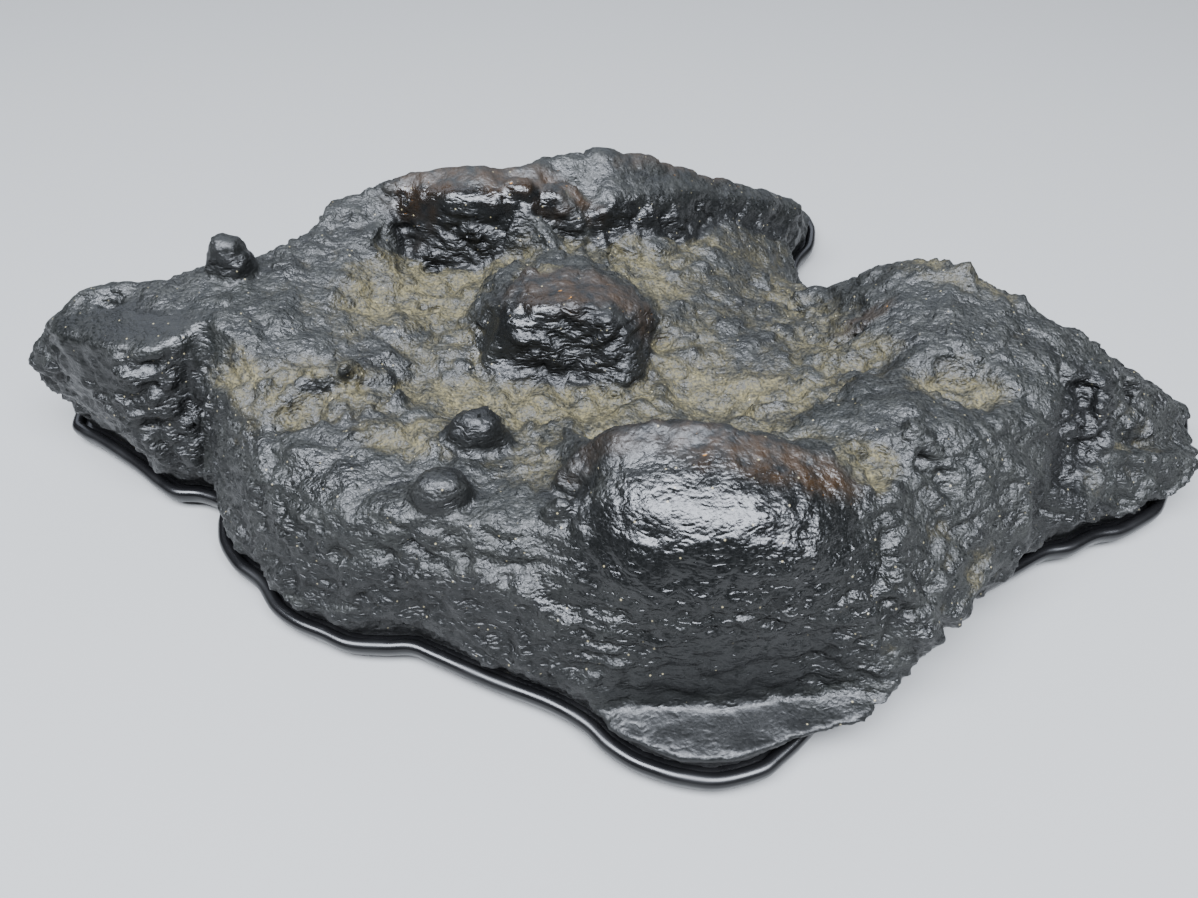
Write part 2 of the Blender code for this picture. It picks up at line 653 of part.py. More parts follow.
def add_object(name, points, faces, material):
    """A new object of this name from points in millimetres."""
    mesh = bpy.data.meshes.new(name)
    mesh.from_pydata((points * MM).tolist(), [], faces)
    mesh.materials.append(material)
    mesh.validate()
    thing = bpy.data.objects.new(name, mesh)
    bpy.context.scene.collection.objects.link(thing)
    return thing


def make_stone():
    """The rock, thinned to broad facets."""
    rows, bottom, summit = stone_grid()
    points = np.vstack([rows.reshape(-1, 3), bottom, summit])
    faces = grid_faces(len(rows), POINTS_AROUND) + pole_faces(len(rows), POINTS_AROUND)
    material = finish_material("weathered_stone", STONE_COLOUR, STONE_ROUGHNESS)
    stone = add_object("stone", with_relief(points, faces), faces, material)
    thin = stone.modifiers.new("broad facets", "DECIMATE")
    triangles = sum(len(face) - 2 for face in faces)
    thin.ratio = STONE_TRIANGLES / triangles
    return stone


def rim_section():
    """The stand's section from its outer foot over the rounded rim to the recess: inset, height."""
    middle = (RECESS_FLOOR + RIM_TOP) / 2 - RIM_ARC_DROP
    half_width = RIM_WIDTH / 2
    arc = [
        (half_width * (1 - np.cos(angle)), middle + (RIM_TOP - middle) * np.sin(angle))
        for angle in np.radians(RIM_ARC_DEGREES)
    ]
    under = [
        (PLATE_EDGE_ROUNDING, PLATE_UNDERSIDE),
        (PLATE_EDGE_INSET, PLATE_UNDERSIDE + PLATE_EDGE_ROUNDING),
    ]
    return [*under, *arc, (RIM_WIDTH, RECESS_FLOOR)]


def make_stand():
    """The stand: its section carried round the outline, closed by the plate, with feet joined on."""
    outline = closed_curve(RIM_OUTLINE, RIM_STEPS)
    rows = [
        np.column_stack([offset(outline, -inset), np.full(RIM_STEPS, height)])
        for inset, height in rim_section()
    ]
    underside = list(range(RIM_STEPS))[::-1]
    recess = [(len(rows) - 1) * RIM_STEPS + i for i in range(RIM_STEPS)]
    faces = [*grid_faces(len(rows), RIM_STEPS), underside, recess]
    material = finish_material("black_lacquered_wood", LACQUER_COLOUR, LACQUER_ROUGHNESS)
    stand = add_object("stand", np.vstack(rows), faces, material)
    for name, x, y, turn in FEET:
        join_foot(stand, name, x, y, turn)
    return stand


def join_foot(stand, name, x, y, turn):
    """Joins one low oval foot, wider at the top than where it stands, to the stand's underside."""
    shape = bmesh.new()
    bmesh.ops.create_cone(
        shape, cap_ends=True, segments=FOOT_SIDES, radius1=FOOT_TAPER / 2, radius2=0.5, depth=1.0
    )
    mesh = bpy.data.meshes.new(name)
    shape.to_mesh(mesh)
    shape.free()
    foot = bpy.data.objects.new(name, mesh)
    bpy.context.scene.collection.objects.link(foot)
    foot.location = (x * MM, y * MM, FOOT_HEIGHT / 2 * MM)
    foot.rotation_euler.z = np.radians(turn)
    foot.scale = (FOOT_LENGTH * MM, FOOT_WIDTH * MM, FOOT_HEIGHT * MM)
    foot.hide_render = True
    foot.display_type = "WIRE"
    union = stand.modifiers.new(name, "BOOLEAN")
    union.operation = "UNION"
    union.object = foot


def main():
    """Empties the scene, then makes the stone and its stand."""
    for thing in list(bpy.data.objects):
        bpy.data.objects.remove(thing)
    make_stone()
    make_stand()


if __name__ == "__main__":
    main()
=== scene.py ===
"""The looks of a dark weathered viewing stone that lies in its thin fitted stand of black lacquered wood.

The stone's surface is a function of two parameters: one runs round its outline, and the other runs from
the middle of its seat up its side and in over its top. The height of the top is drawn as a surveyor draws
ground, from spot heights along named crest, edge and foot lines, with knobs and hollows added. The rough
relief comes next: lumps, folded layers, broken facets, grain and pits, each with its size in millimetres.
Dust, wear, sheen, rust and a dark mark are painted as attributes of the mesh, which the stone's
finish reads. The dark mark is partly the rock's own dark faces and partly painted shade, laid on every
steep face, in sunken crevices, along the feet of the back lobes, in the cave and on the ledge.

Lengths are millimetres until a mesh is made. X runs along the stone, Y to its back, Z up from the floor.
"""

import logging
import math
from dataclasses import dataclass, field
from enum import Enum

import bmesh
import bpy
import numpy as np
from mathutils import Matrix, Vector
from mathutils.geometry import delaunay_2d_cdt


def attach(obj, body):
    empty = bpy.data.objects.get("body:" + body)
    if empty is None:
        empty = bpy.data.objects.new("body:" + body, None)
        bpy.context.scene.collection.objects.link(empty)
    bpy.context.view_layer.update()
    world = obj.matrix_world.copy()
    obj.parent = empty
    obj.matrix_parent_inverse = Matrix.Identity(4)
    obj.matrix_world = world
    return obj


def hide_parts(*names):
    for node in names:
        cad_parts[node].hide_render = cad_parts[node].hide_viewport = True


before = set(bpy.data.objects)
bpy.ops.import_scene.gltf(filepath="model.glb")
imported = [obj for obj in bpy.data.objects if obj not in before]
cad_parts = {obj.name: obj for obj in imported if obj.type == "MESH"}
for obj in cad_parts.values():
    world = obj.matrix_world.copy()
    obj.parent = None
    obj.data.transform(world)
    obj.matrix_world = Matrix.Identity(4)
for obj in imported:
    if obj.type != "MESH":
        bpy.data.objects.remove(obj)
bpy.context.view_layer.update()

Array = np.ndarray
Pair = tuple[float, float]
Triple = tuple[float, float, float]
Spot = Triple
Oval = tuple[float, float, float, float, float]
Colour = tuple[float, float, float, float]
Codes = tuple[tuple[str, str], ...]
Lengths = tuple[tuple[str, float], ...]
Recipe = tuple[tuple[object, ...], ...]
log = logging.getLogger("viewing_stone")
MM = 0.001

# How many points each stretch of a smooth curve is first cut into
CURVE_FINENESS = 24

# The whole-number hash behind every random field: odd factors, and rounds of a shift and a factor
CELL_FACTORS = (374761393, 668265263, 2246822519)
SEED_FACTOR = 7919
SALT_FACTOR = 104729
HASH_ROUNDS = ((15, 2246822519), (13, 3266489917))
LAST_SHIFT = 16
MOST_HASH = 0xFFFFFFFF

# The outline of the stand's rim, from the left end along the front: X, Y
RIM_OUTLINE = (
    (-207, -9), (-202, -14), (-195, -18), (-186, -24), (-176, -31), (-166, -39), (-158, -44), (-149, -45),
    (-141, -49), (-139, -57), (-136, -65), (-129, -74), (-120, -81), (-113, -90), (-105, -96), (-96, -100),
    (-87, -104), (-76, -105), (-68, -105), (-61, -108), (-44, -116), (-27, -123), (-17, -129), (-11, -135),
    (-4, -140), (3, -143), (10, -145), (20, -146), (32, -143), (38, -139), (46, -132), (57, -120),
    (67, -109), (78, -99), (93, -90), (109, -83), (122, -76), (133, -70), (142, -68), (152, -63), (161, -61),
    (169, -57), (177, -52), (182, -46), (190, -34), (198, -21), (203, -15), (206, -9), (207, -4), (202, 8),
    (192, 24), (176, 41), (156, 54), (133, 62), (110, 64), (92, 64), (83, 66), (77, 73), (76, 82), (77, 90),
    (80, 97), (86, 106), (89, 116), (90, 126), (87, 137), (76, 144), (58, 146), (30, 143), (0, 134),
    (-40, 121), (-80, 106), (-115, 88), (-150, 64), (-178, 42), (-198, 19), (-207, 3),
)
CENTRE = (0.0, -10.0)

# Stretches where the stone's edge stands out beyond the rim, or higher than elsewhere:
# name, start X, Y, end X, Y, how much further out, how much higher
EDGE_STRETCHES = (
    ("right flank", 30, -144, 133, -70, 11, 3),
    ("right flank brow", 38, -139, 100, -87, 4, 0),
    ("right flank lip", 57, -120, 118, -78, 0, 13),
    ("right end tip", 172, -56, 200, -19, 6, 8),
    ("left wing", -205, 20, -141, -49, 4, 30),
    ("front ledge", -24, -136, 74, -126, 0, 3.0),
)

# Crest, edge and foot lines of the stone's top: X, Y, height
GROUND_LINES: dict[str, tuple[Spot, ...]] = {
    "facet_front": ((-190, -14, 60), (-186, -22, 60), (-174, -27, 61), (-163, -32, 62), (-152, -35, 63),
        (-146, -35, 64)),
    "facet_right": ((-146, -35, 64), (-141, -30, 65), (-135, -24, 66), (-131, -18, 67)),
    "facet_back": ((-131, -18, 67), (-143, -22, 65), (-151, -19, 65), (-165, -16, 64), (-177, -12, 63),
        (-187, -10, 62), (-190, -14, 60)),
    "left_crest": ((-181, -7, 65), (-174, -5, 67), (-167, -5, 68), (-164, -4, 66), (-155, -4, 67),
        (-149, 1, 67), (-143, 5, 67)),
    "saddle": ((-143, 5, 67), (-129, 9, 66), (-122, 9, 64), (-117, 10, 65)),
    "backleft_rise": ((-117, 10, 65), (-112, 22, 68), (-106, 38, 72), (-97, 41, 74), (-88, 43, 76)),
    "backleft_crest": ((-88, 43, 76), (-84, 43, 78), (-75, 43, 81), (-64, 44, 82), (-54, 43, 83),
        (-47, 45, 80), (-40, 44, 77), (-31, 43, 73), (-24, 40, 69), (-18, 37, 66)),
    "backleft_edge": ((-83, 36, 70), (-78, 34, 73), (-71, 32, 76), (-63, 30, 78), (-54, 29, 78),
        (-46, 30, 77), (-38, 31, 75), (-29, 34, 71), (-22, 35, 68), (-18, 37, 66)),
    "backleft_foot": ((-84, 33, 62), (-80, 32, 57), (-65, 27, 57), (-56, 26, 57), (-48, 27, 62),
        (-43, 30, 65), (-33, 32, 67)),
    "backright_crest": ((-18, 37, 66), (-26, 40, 72), (-34, 43, 78), (-40, 46, 81), (-33, 51, 81),
        (-26, 55, 81), (-15, 59, 81), (-10, 59, 81), (7, 66, 74), (28, 79, 60), (46, 91, 49), (61, 100, 40),
        (76, 105, 31)),
    "backright_edge": ((-18, 37, 66), (-12, 36, 68), (-7, 38, 70), (-1, 42, 69), (8, 47, 67), (16, 52, 64),
        (22, 58, 62), (33, 69, 54), (45, 77, 49), (59, 87, 42), (69, 93, 35), (78, 99, 28)),
    "backright_foot": ((-12, 35, 65), (-3, 39, 61), (7, 43, 56), (17, 47, 50), (23, 53, 48), (30, 62, 48),
        (38, 69, 46), (48, 75, 40), (58, 80, 32), (68, 87, 25)),
    "basin_back": ((-26, 28, 58), (-12, 31, 54), (3, 29, 52), (25, 35, 48), (44, 47, 40), (56, 52, 30)),
    "basin_mid": ((9, 9, 50), (24, 13, 47), (39, 17, 42), (60, 29, 34)),
    "basin_floor": ((5, -12, 47), (22, -13, 46), (42, -13, 46), (17, -33, 44), (32, -42, 46), (45, -40, 48),
        (1, -40, 48), (-12, -53, 50)),
    "backleft_bevel": ((-82, 37, 72), (-73, 35, 76), (-63, 32, 79), (-55, 31, 79), (-46, 31, 78),
        (-38, 33, 76), (-29, 35, 72)),
    "valley_top": ((-82, 28, 53), (-69, 23, 52), (-56, 24, 53), (-47, 23, 57)),
    "boss_top_back": ((-42, -8, 68), (-37, -14, 70), (-29, -15, 71), (-26, -8, 71), (-21, 1, 70),
        (-15, -1, 70), (-10, -4, 69), (-4, -6, 67), (2, -10, 64)),
    "boss_brow": ((-42, -8, 68), (-44, -14, 67), (-37, -19, 70), (-29, -23, 72), (-19, -23, 73),
        (-12, -25, 72), (-10, -28, 70), (-4, -27, 67), (1, -19, 64), (2, -10, 64)),
    "boss_facet": ((-44, -14, 67), (-44, -18, 66), (-42, -24, 66), (-38, -28, 66), (-33, -27, 67),
        (-30, -27, 67), (-29, -23, 72)),
    "boss_face_foot": ((-42, -25, 58), (-39, -29, 55), (-34, -30, 50), (-25, -30, 48), (-15, -29, 49),
        (-7, -31, 53), (-3, -29, 59), (3, -18, 56)),
    "boss_skirt": ((-54, -14, 56), (-53, -21, 53), (-49, -27, 50), (-40, -34, 48), (-27, -37, 47),
        (-12, -39, 46), (-5, -39, 46), (1, -29, 47), (6, -14, 49), (8, -3, 53)),
    "boss_left": ((-44, -14, 67), (-50, -13, 62), (-54, -14, 56)),
    "boss_neck": ((-21, 1, 70), (-25, 17, 65), (-26, 27, 63), (-24, 33, 64)),
    "right_band": ((134, -41, 47), (131, -48, 45), (127, -55, 41), (124, -62, 37)),
    "upper_lobe_face": ((139, -46, 41), (144, -47, 40), (151, -44, 39)),
    "upper_lobe_foot": ((143, -48, 33), (152, -46, 33)),
    "plateau_a": ((-126, -28, 66), (-120, -12, 66), (-110, -4, 64), (-99, 7, 64), (-91, 22, 66),
        (-86, 31, 66)),
    "plateau_b": ((-106, -23, 62), (-96, -15, 60), (-86, 1, 56), (-74, 9, 54), (-69, 21, 52)),
    "plateau_c": ((-78, -13, 54), (-70, -21, 52), (-62, -8, 50), (-59, 1, 52)),
    "plateau_d": ((-139, -33, 62), (-118, -37, 62), (-103, -37, 60), (-90, -37, 58), (-79, -30, 56)),
    "plateau_e": ((-124, -47, 54), (-113, -55, 54), (-100, -57, 56), (-85, -58, 57), (-72, -47, 54),
        (-59, -38, 50), (-43, -45, 48), (-30, -53, 48), (-21, -55, 50)),
    "plateau_f": ((-126, -54, 42), (-110, -70, 48), (-96, -77, 52), (-81, -79, 54), (-68, -75, 54),
        (-54, -72, 54), (-34, -75, 54), (-24, -81, 56)),
    "plateau_edge": ((-115, -71, 40), (-105, -78, 44), (-95, -84, 48), (-80, -90, 52), (-65, -93, 54),
        (-51, -95, 55), (-38, -96, 56), (-25, -95, 57)),
    "left_ridge": ((-139, -33, 62), (-138, -33, 50), (-140, -34, 38), (-142, -39, 24)),
    "slope_mid": ((-119, -77, 22), (-99, -89, 30), (-81, -97, 36), (-66, -100, 40), (-52, -103, 40),
        (-38, -108, 42), (-22, -112, 44)),
    "slope_low": ((-100, -94, 18), (-84, -100, 20), (-69, -105, 22), (-54, -109, 22), (-40, -113, 20),
        (-25, -119, 20)),
    "lobe_back": ((-21, -82, 62), (-16, -79, 67), (-12, -79, 72), (-4, -79, 76), (4, -79, 78), (14, -80, 78),
        (22, -81, 77), (32, -82, 74), (41, -83, 71), (52, -84, 67)),
    "lobe_brow": ((-18, -94, 68), (-9, -94, 71), (-2, -97, 72), (13, -102, 73), (33, -98, 72), (47, -96, 68),
        (52, -97, 64)),
    "lobe_belly": ((-16, -102, 62), (-8, -111, 60), (0, -116, 61), (12, -118, 62), (29, -118, 62),
        (45, -115, 60), (53, -106, 58)),
    "lobe_left": ((-21, -82, 62), (-18, -94, 68), (-16, -102, 62)),
    "lobe_left_foot": ((-23, -85, 56), (-19, -90, 54), (-17, -99, 50), (-12, -109, 46)),
    "face_foot": ((-16, -126, 13), (-6, -126, 14), (16, -125, 14), (41, -122, 14), (52, -122, 16),
        (60, -123, 18)),
    "face_mid": ((-12, -119, 36), (14, -121, 36), (38, -119, 36), (54, -117, 38)),
    "flank": ((52, -97, 64), (58, -105, 52), (58, -114, 46), (61, -118, 34), (62, -121, 22)),
    "flank_b": ((67, -92, 60), (68, -99, 52), (68, -109, 44), (78, -107, 36)),
    "hill_ridge": ((56, -55, 58), (64, -56, 62), (74, -59, 64), (81, -63, 64), (90, -65, 62), (104, -61, 58),
        (122, -55, 52)),
    "hill_front": ((64, -79, 62), (80, -77, 58), (95, -75, 54), (112, -72, 48)),
    "hill_front_b": ((76, -88, 52), (92, -83, 48), (109, -78, 42)),
    "front_brow": ((79, -103, 42), (92, -92, 38), (103, -86, 36), (113, -83, 34), (123, -78, 28)),
    "hill_crest": ((74, 40, 30), (76, 32, 40), (80, 26, 46), (83, 21, 52), (86, 17, 58), (91, 14, 62),
        (101, 12, 64), (109, 8, 65), (112, 5, 64), (116, -2, 62), (122, -5, 61), (129, -6, 60),
        (136, -11, 57), (146, -13, 54), (151, -15, 51), (158, -19, 46)),
    "hill_a": ((71, -13, 50), (84, -20, 58), (98, -25, 62), (114, -28, 60), (130, -30, 56), (148, -33, 48)),
    "hill_b": ((63, -31, 50), (73, -32, 54), (85, -42, 58), (98, -42, 56), (109, -44, 58), (129, -44, 54),
        (146, -40, 46)),
    "hill_step": ((64, 2, 42), (61, -18, 46), (55, -42, 50), (46, -61, 56)),
    "right_drop": ((124, -53, 50), (134, -41, 47)),
    "right_cave": ((144, -34, 37), (142, -42, 33), (137, -49, 30), (132, -57, 29)),
    "upper_lobe": ((158, -19, 46), (167, -19, 39), (173, -18, 35), (181, -17, 31), (187, -19, 28),
        (190, -20, 24)),
    "upper_lobe_b": ((161, -30, 34), (175, -27, 27), (185, -26, 22)),
    "upper_lobe_toe": ((162, -35, 22), (174, -34, 20), (185, -31, 18)),
    "lower_lobe": ((134, -55, 30), (151, -49, 32), (165, -47, 30), (179, -42, 26)),
    "lower_lobe_b": ((138, -64, 26), (153, -61, 24), (172, -51, 20)),
    "lobe_back_foot": ((-24, -56, 52), (-10, -60, 51), (6, -60, 50), (22, -58, 50), (38, -60, 52),
        (50, -66, 58)),
    "back_mid": ((-190, 4, 50), (-177, 22, 38), (-157, 36, 38), (-132, 50, 33), (-104, 64, 44)),
    "back_low": ((-72, 78, 42), (-32, 96, 38), (8, 106, 36), (38, 114, 30), (63, 122, 22)),
    "back_dome": ((-72, 60, 66), (-42, 68, 63), (-12, 78, 62), (13, 88, 52), (38, 98, 40)),
    "hill_back": ((168, 8, 22), (148, 18, 30), (126, 32, 37), (103, 40, 37), (88, 48, 25)),
}

# Knobs (rise above 0) and hollows (below 0) on that ground:
# name, X, Y, half length, half width, turn in degrees, rise, steepness of the sides
KNOBS_AND_HOLLOWS = (
    ("back_knob", -133, 3, 8, 7, 0, 13, 4), ("dark_knob", -47, -62, 10, 8, 10, 12, 3),
    ("flat_knob", -55, -86, 9, 7, 0, 9, 4), ("small_knob", -23, -94, 4, 3, 0, 5, 3),
    ("saddle_block", -24, 38, 9, 7, 20, 5, 4), ("saddle_lump", -39, 36, 7, 5, -20, 4, 3),
    ("hill_knob", 77, -70, 5, 5, 0, 5, 3), ("flank_knob", 67, -109, 6, 5, 20, 5, 3),
    ("flank_lump", 76, -112, 6, 5, 30, 4, 3), ("ledge_block", -84, -38, 9, 4, 15, 4, 4),
    ("ledge_block_b", -96, -42, 8, 4, 0, 4, 4), ("wing_lump", -195, -22, 5, 5, 0, 4, 3),
    ("slope_lump", -47, -106, 10, 5, -15, 4, 3), ("wing_pit", -169, -11, 5, 3, 0, -5, 2),
    ("valley_pit", -72, 24, 5, 3, 0, -4, 2), ("valley_pit_b", -68, 2, 5, 2, 10, -3, 2),
    ("basin_pit", 49, 34, 5, 3, 0, -6, 2), ("notch_slot", 62, 22, 7, 3, 10, -5, 2),
    ("boss_bowl", -34, 2, 7, 5, 10, -5, 2), ("hill_hollow", 98, -43, 17, 11, -20, -6, 2),
    ("hill_hollow_b", 74, -28, 14, 8, -10, -5, 2), ("hill_hollow_c", 62, -81, 11, 8, 20, -4, 2),
    ("hill_slot", 82, -78, 8, 4, -10, -5, 2), ("hill_slit", 72, -11, 8, 2, 10, -4, 2),
    ("end_hole", 165, -23, 4, 4, 0, -7, 2), ("basin_dish", 20, -37, 20, 12, 0, -3, 2),
    ("plateau_dish", -101, -53, 14, 8, 30, -4, 2), ("valley_dish", -74, -36, 14, 9, 20, -4, 2),
)


class Mark(Enum):
    """What is painted on the stone, as the name of the mesh attribute that holds it from 0 to 1."""

    DUST = "dust"
    WORN = "worn"
    SHEEN = "sheen"
    RUST = "rust"
    GLOOM = "gloom"


# Oval places painted on the stone: X, Y, half length, half width, turn in degrees, strength
PLACES: dict[Mark, tuple[tuple[float, ...], ...]] = {
    Mark.DUST: ((-69, 16, 18, 16, 0, 0.75), (-80, 0, 18, 16, 20, 0.6), (30, -34, 30, 14, -10, 0.6),
        (4, 20, 14, 20, 40, 0.5), (-102, -46, 26, 12, 0, 0.45), (-42, -44, 36, 8, -10, 0.7),
        (-60, -62, 22, 8, 0, 0.6), (96, -44, 15, 8, 0, 0.7), (70, -22, 12, 8, 0, 0.5),
        (60, -80, 10, 8, 0, 0.7), (-33, 0, 7, 5, 0, 1.0), (-122, -40, 14, 6, -40, 0.6),
        (110, 8, 22, 10, -20, 0.4)),
    Mark.WORN: ((-162, -22, 30, 11, -8, 1.0), (14, -103, 42, 13, 0, 0.9), (8, -84, 34, 9, 0, 0.55),
        (22, -134, 44, 14, 0, 0.85), (-38, -22, 12, 6, 0, 0.9), (-47, -62, 11, 9, 0, 0.55),
        (-55, -86, 10, 8, 0, 0.55), (-133, 3, 9, 8, 0, 0.6), (-20, -11, 20, 8, 0, 0.5),
        (-50, 44, 36, 12, 0, 0.6), (8, 60, 38, 18, 35, 0.65), (60, 98, 30, 14, 50, 0.6)),
    Mark.SHEEN: ((-162, -22, 30, 11, -8, 0.6), (18, -106, 46, 17, 0, 1.0), (-38, -22, 12, 6, 0, 1.0),
        (-50, -20, 6, 9, 0, 0.6), (-92, -78, 14, 8, 0, 0.5), (60, -104, 16, 10, 0, 0.5)),
    Mark.RUST: ((29, -87, 23, 8, -8, 1.0), (-4, -82, 16, 5, 0, 0.4), (-54, 40, 32, 8, 0, 0.9),
        (-24, 42, 12, 4, -20, 1.0), (30, 88, 40, 8, 40, 0.8), (-19, -12, 22, 10, 0, 0.9),
        (78, -6, 9, 4, 10, 0.8)),
    # The dark mark here: the rock's own dark knobs and boss top, and painted shade on the boss's face, the
    # lobe's back and the front ledge
    Mark.GLOOM: ((-22, -14, 24, 12, 0, 0.8), (-133, 3, 9, 8, 0, 0.5), (24, -134, 46, 13, 0, 0.9),
        (-22, -28, 26, 6, 0, 1.0), (-47, -62, 11, 9, 0, 0.9), (-55, -86, 9, 7, 0, 0.5),
        (8, -82, 32, 9, 0, 0.7)),
}

# Bands painted along lines of the ground: the line's name, half width, strength
BANDS: dict[Mark, tuple[tuple[str, float, float], ...]] = {
    Mark.WORN: (("backleft_bevel", 4, 0.8), ("backright_edge", 4, 0.5)),
    Mark.SHEEN: (("backleft_bevel", 3, 1.0), ("backright_edge", 2.5, 0.6)),
    # These dark bands are painted shade: along the feet of the back lobes and of the boss's face, in the
    # cave and under the lobe's left side
    Mark.GLOOM: (("backleft_foot", 4, 1.0), ("backright_foot", 3.2, 1.0), ("boss_face_foot", 4, 0.8),
        ("right_cave", 9, 1.0), ("lobe_left_foot", 5, 0.7)),
}


def smooth_step(low: float, high: float, value: Array) -> Array:
    """An S from 0 at low to 1 at high: t squared times (3 - 2t), where t is the share of the way there."""
    t = np.clip((value - low) / (high - low), 0.0, 1.0)
    return t * t * (3 - 2 * t)


def linear(hex_colour: str) -> Colour:
    """The linear colour, with an alpha of 1, of an sRGB hex value such as "8a8570", by sRGB's own curve."""
    shares = [int(hex_colour[k : k + 2], 16) / 255 for k in (0, 2, 4)]
    return (*(s / 12.92 if s <= 0.04045 else ((s + 0.055) / 1.055) ** 2.4 for s in shares), 1.0)


def closed_curve(points: tuple[Pair, ...], count: int) -> Array:
    """A smooth closed curve through the points: Catmull-Rom cubics, read off at even steps of length.

    Args:
        points: The corners that the curve passes through.
        count: How many points to return.

    Returns:
        An array of count rows of X, Y.
    """
    corners = np.array(points, float)
    before, after, beyond = (np.roll(corners, -step, axis=0) for step in (-1, 1, 2))
    t = np.linspace(0.0, 1.0, CURVE_FINENESS, endpoint=False)[:, None, None]
    fine = 0.5 * (
        2 * corners
        + (after - before) * t
        + (2 * before - 5 * corners + 4 * after - beyond) * t**2
        + (3 * corners - before - 3 * after + beyond) * t**3
    )
    fine = fine.transpose(1, 0, 2).reshape(-1, corners.shape[1])
    loop = np.vstack([fine, fine[:1]])
    along = np.concatenate([[0.0], np.cumsum(np.linalg.norm(np.diff(loop, axis=0), axis=1))])
    wanted = np.linspace(0.0, along[-1], count, endpoint=False)
    return np.stack([np.interp(wanted, along, column) for column in loop.T], axis=1)


def offset(curve: Array, distance: float | Array) -> Array:
    """The closed curve moved along its outward normals: its direction, turned a quarter to the right.

    Args:
        curve: Rows of X, Y that run anticlockwise.
        distance: How far outwards, for all points or for each.

    Returns:
        The moved rows.
    """
    along = np.roll(curve, -1, axis=0) - np.roll(curve, 1, axis=0)
    normals = np.stack([along[:, 1], -along[:, 0]], axis=1)
    normals /= np.linalg.norm(normals, axis=1, keepdims=True)
    return curve + normals * np.reshape(distance, (-1, 1))


def oval(x: Array, y: Array, place: Oval) -> Array:
    """How far out each point lies in a turned oval: the root of the squared shares of its two half axes.

    Args:
        x: Where the points are along X.
        y: Where they are along Y.
        place: The oval's centre in X and Y, its half length and half width, and its turn in degrees.

    Returns:
        0 at the centre, 1 on the oval's edge, and more outside.
    """
    cx, cy, half_length, half_width, turn = place
    angle = math.radians(turn)
    along = ((x - cx) * math.cos(angle) + (y - cy) * math.sin(angle)) / half_length
    across = ((y - cy) * math.cos(angle) - (x - cx) * math.sin(angle)) / half_width
    return np.sqrt(along**2 + across**2)


def distance_to(line: tuple[Spot, ...], x: Array, y: Array) -> Array:
    """How far each point lies in plan from a line of spots: the least distance to its straight pieces.

    Args:
        line: The line's spots.
        x: Where the points are along X.
        y: Where they are along Y.

    Returns:
        One distance for each point.
    """
    nearest = np.full(len(x), np.inf)
    for (ax, ay, _), (bx, by, _) in zip(line, line[1:]):
        along = ((x - ax) * (bx - ax) + (y - ay) * (by - ay)) / ((bx - ax) ** 2 + (by - ay) ** 2)
        share = np.clip(along, 0, 1)
        nearest = np.minimum(nearest, np.hypot(x - ax - share * (bx - ax), y - ay - share * (by - ay)))
    return nearest


def blurred(grid: Array, radius: float) -> Array:
    """The grid after a Gaussian blur: neighbours weigh exp(-distance squared / twice radius squared).

    Args:
        grid: Rows of heights.
        radius: The blur's radius in cells.

    Returns:
        A grid of the same size.
    """
    reach = int(np.ceil(3 * radius))
    weights = np.exp(-0.5 * (np.arange(-reach, reach + 1) / radius) ** 2)
    weights /= weights.sum()
    for axis in (0, 1):
        padding = [(reach, reach) if side == axis else (0, 0) for side in (0, 1)]
        wide, length = np.pad(grid, padding, mode="edge"), grid.shape[axis]
        moved = (np.take(wide, range(k, k + length), axis=axis) for k in range(len(weights)))
        grid = sum(weight * near for weight, near in zip(weights, moved))
    return grid


def grid_faces(row_count: int, around: int) -> list[list[int]]:
    """Four-sided faces between neighbouring rows of a grid whose rows are closed loops.

    Args:
        row_count: How many rows the grid has.
        around: How many points a row has.

    Returns:
        Lists of point numbers, facing out when the rows run anticlockwise and upwards.
    """
    here = np.arange(around)
    ahead = np.roll(here, -1)
    first = np.arange(row_count - 1)[:, None] * around
    corners = [first + here, first + ahead, first + around + ahead, first + around + here]
    return np.stack(corners, axis=-1).reshape(-1, 4).tolist()


def in_scene(name: str, data: bpy.types.ID) -> bpy.types.Object:
    """A new object with its mesh, light or camera, linked to the scene."""
    bpy.context.scene.collection.objects.link(thing := bpy.data.objects.new(name, data))
    return thing


def new_object(name: str, points: Array, faces: list[list[int]]) -> bpy.types.Object:
    """A mesh object at the origin, with its place in its mesh.

    Args:
        name: The object's name.
        points: Rows of X, Y, Z in millimetres.
        faces: Lists of point numbers.

    Returns:
        The object.
    """
    mesh = bpy.data.meshes.new(name)
    mesh.from_pydata((points * MM).tolist(), [], faces)
    mesh.validate()
    return in_scene(name, mesh)


def apply_modifiers(thing: bpy.types.Object) -> None:
    """Makes the object's evaluated mesh its own mesh, and clears its modifiers.

    Args:
        thing: The object to settle.
    """
    graph = bpy.context.evaluated_depsgraph_get()
    mesh = bpy.data.meshes.new_from_object(thing.evaluated_get(graph))
    thing.modifiers.clear()
    old, thing.data = thing.data, mesh
    bpy.data.meshes.remove(old)
    mesh.name = thing.name


def read_rows(source: bpy.types.bpy_prop_collection, key: str) -> Array:
    """Three numbers for each point of a mesh.

    Args:
        source: The mesh's points or their normals.
        key: The property to read.

    Returns:
        Rows of X, Y, Z.
    """
    flat = np.empty(len(source) * 3, np.float32)
    source.foreach_get(key, flat)
    return flat.reshape(-1, 3).astype(float)


def add_node(
    tree: bpy.types.NodeTree, kind: str, links: dict[str, object] | None = None, **settings: object
) -> bpy.types.Node:
    """Adds a node to a tree, sets it up and links its inputs.

    Args:
        tree: The node tree.
        kind: Blender's type name of the node.
        links: What each input, by its name or number, gets: a socket to link, or a value.
        settings: The node's own properties.

    Returns:
        The node.
    """
    node = tree.nodes.new(kind)
    for name, value in settings.items():
        setattr(node, name, value)
    for key, value in (links or {}).items():
        socket = node.inputs[int(key) if key.isdigit() else key]
        if isinstance(value, bpy.types.NodeSocket):
            tree.links.new(value, socket)
        else:
            socket.default_value = value
    return node


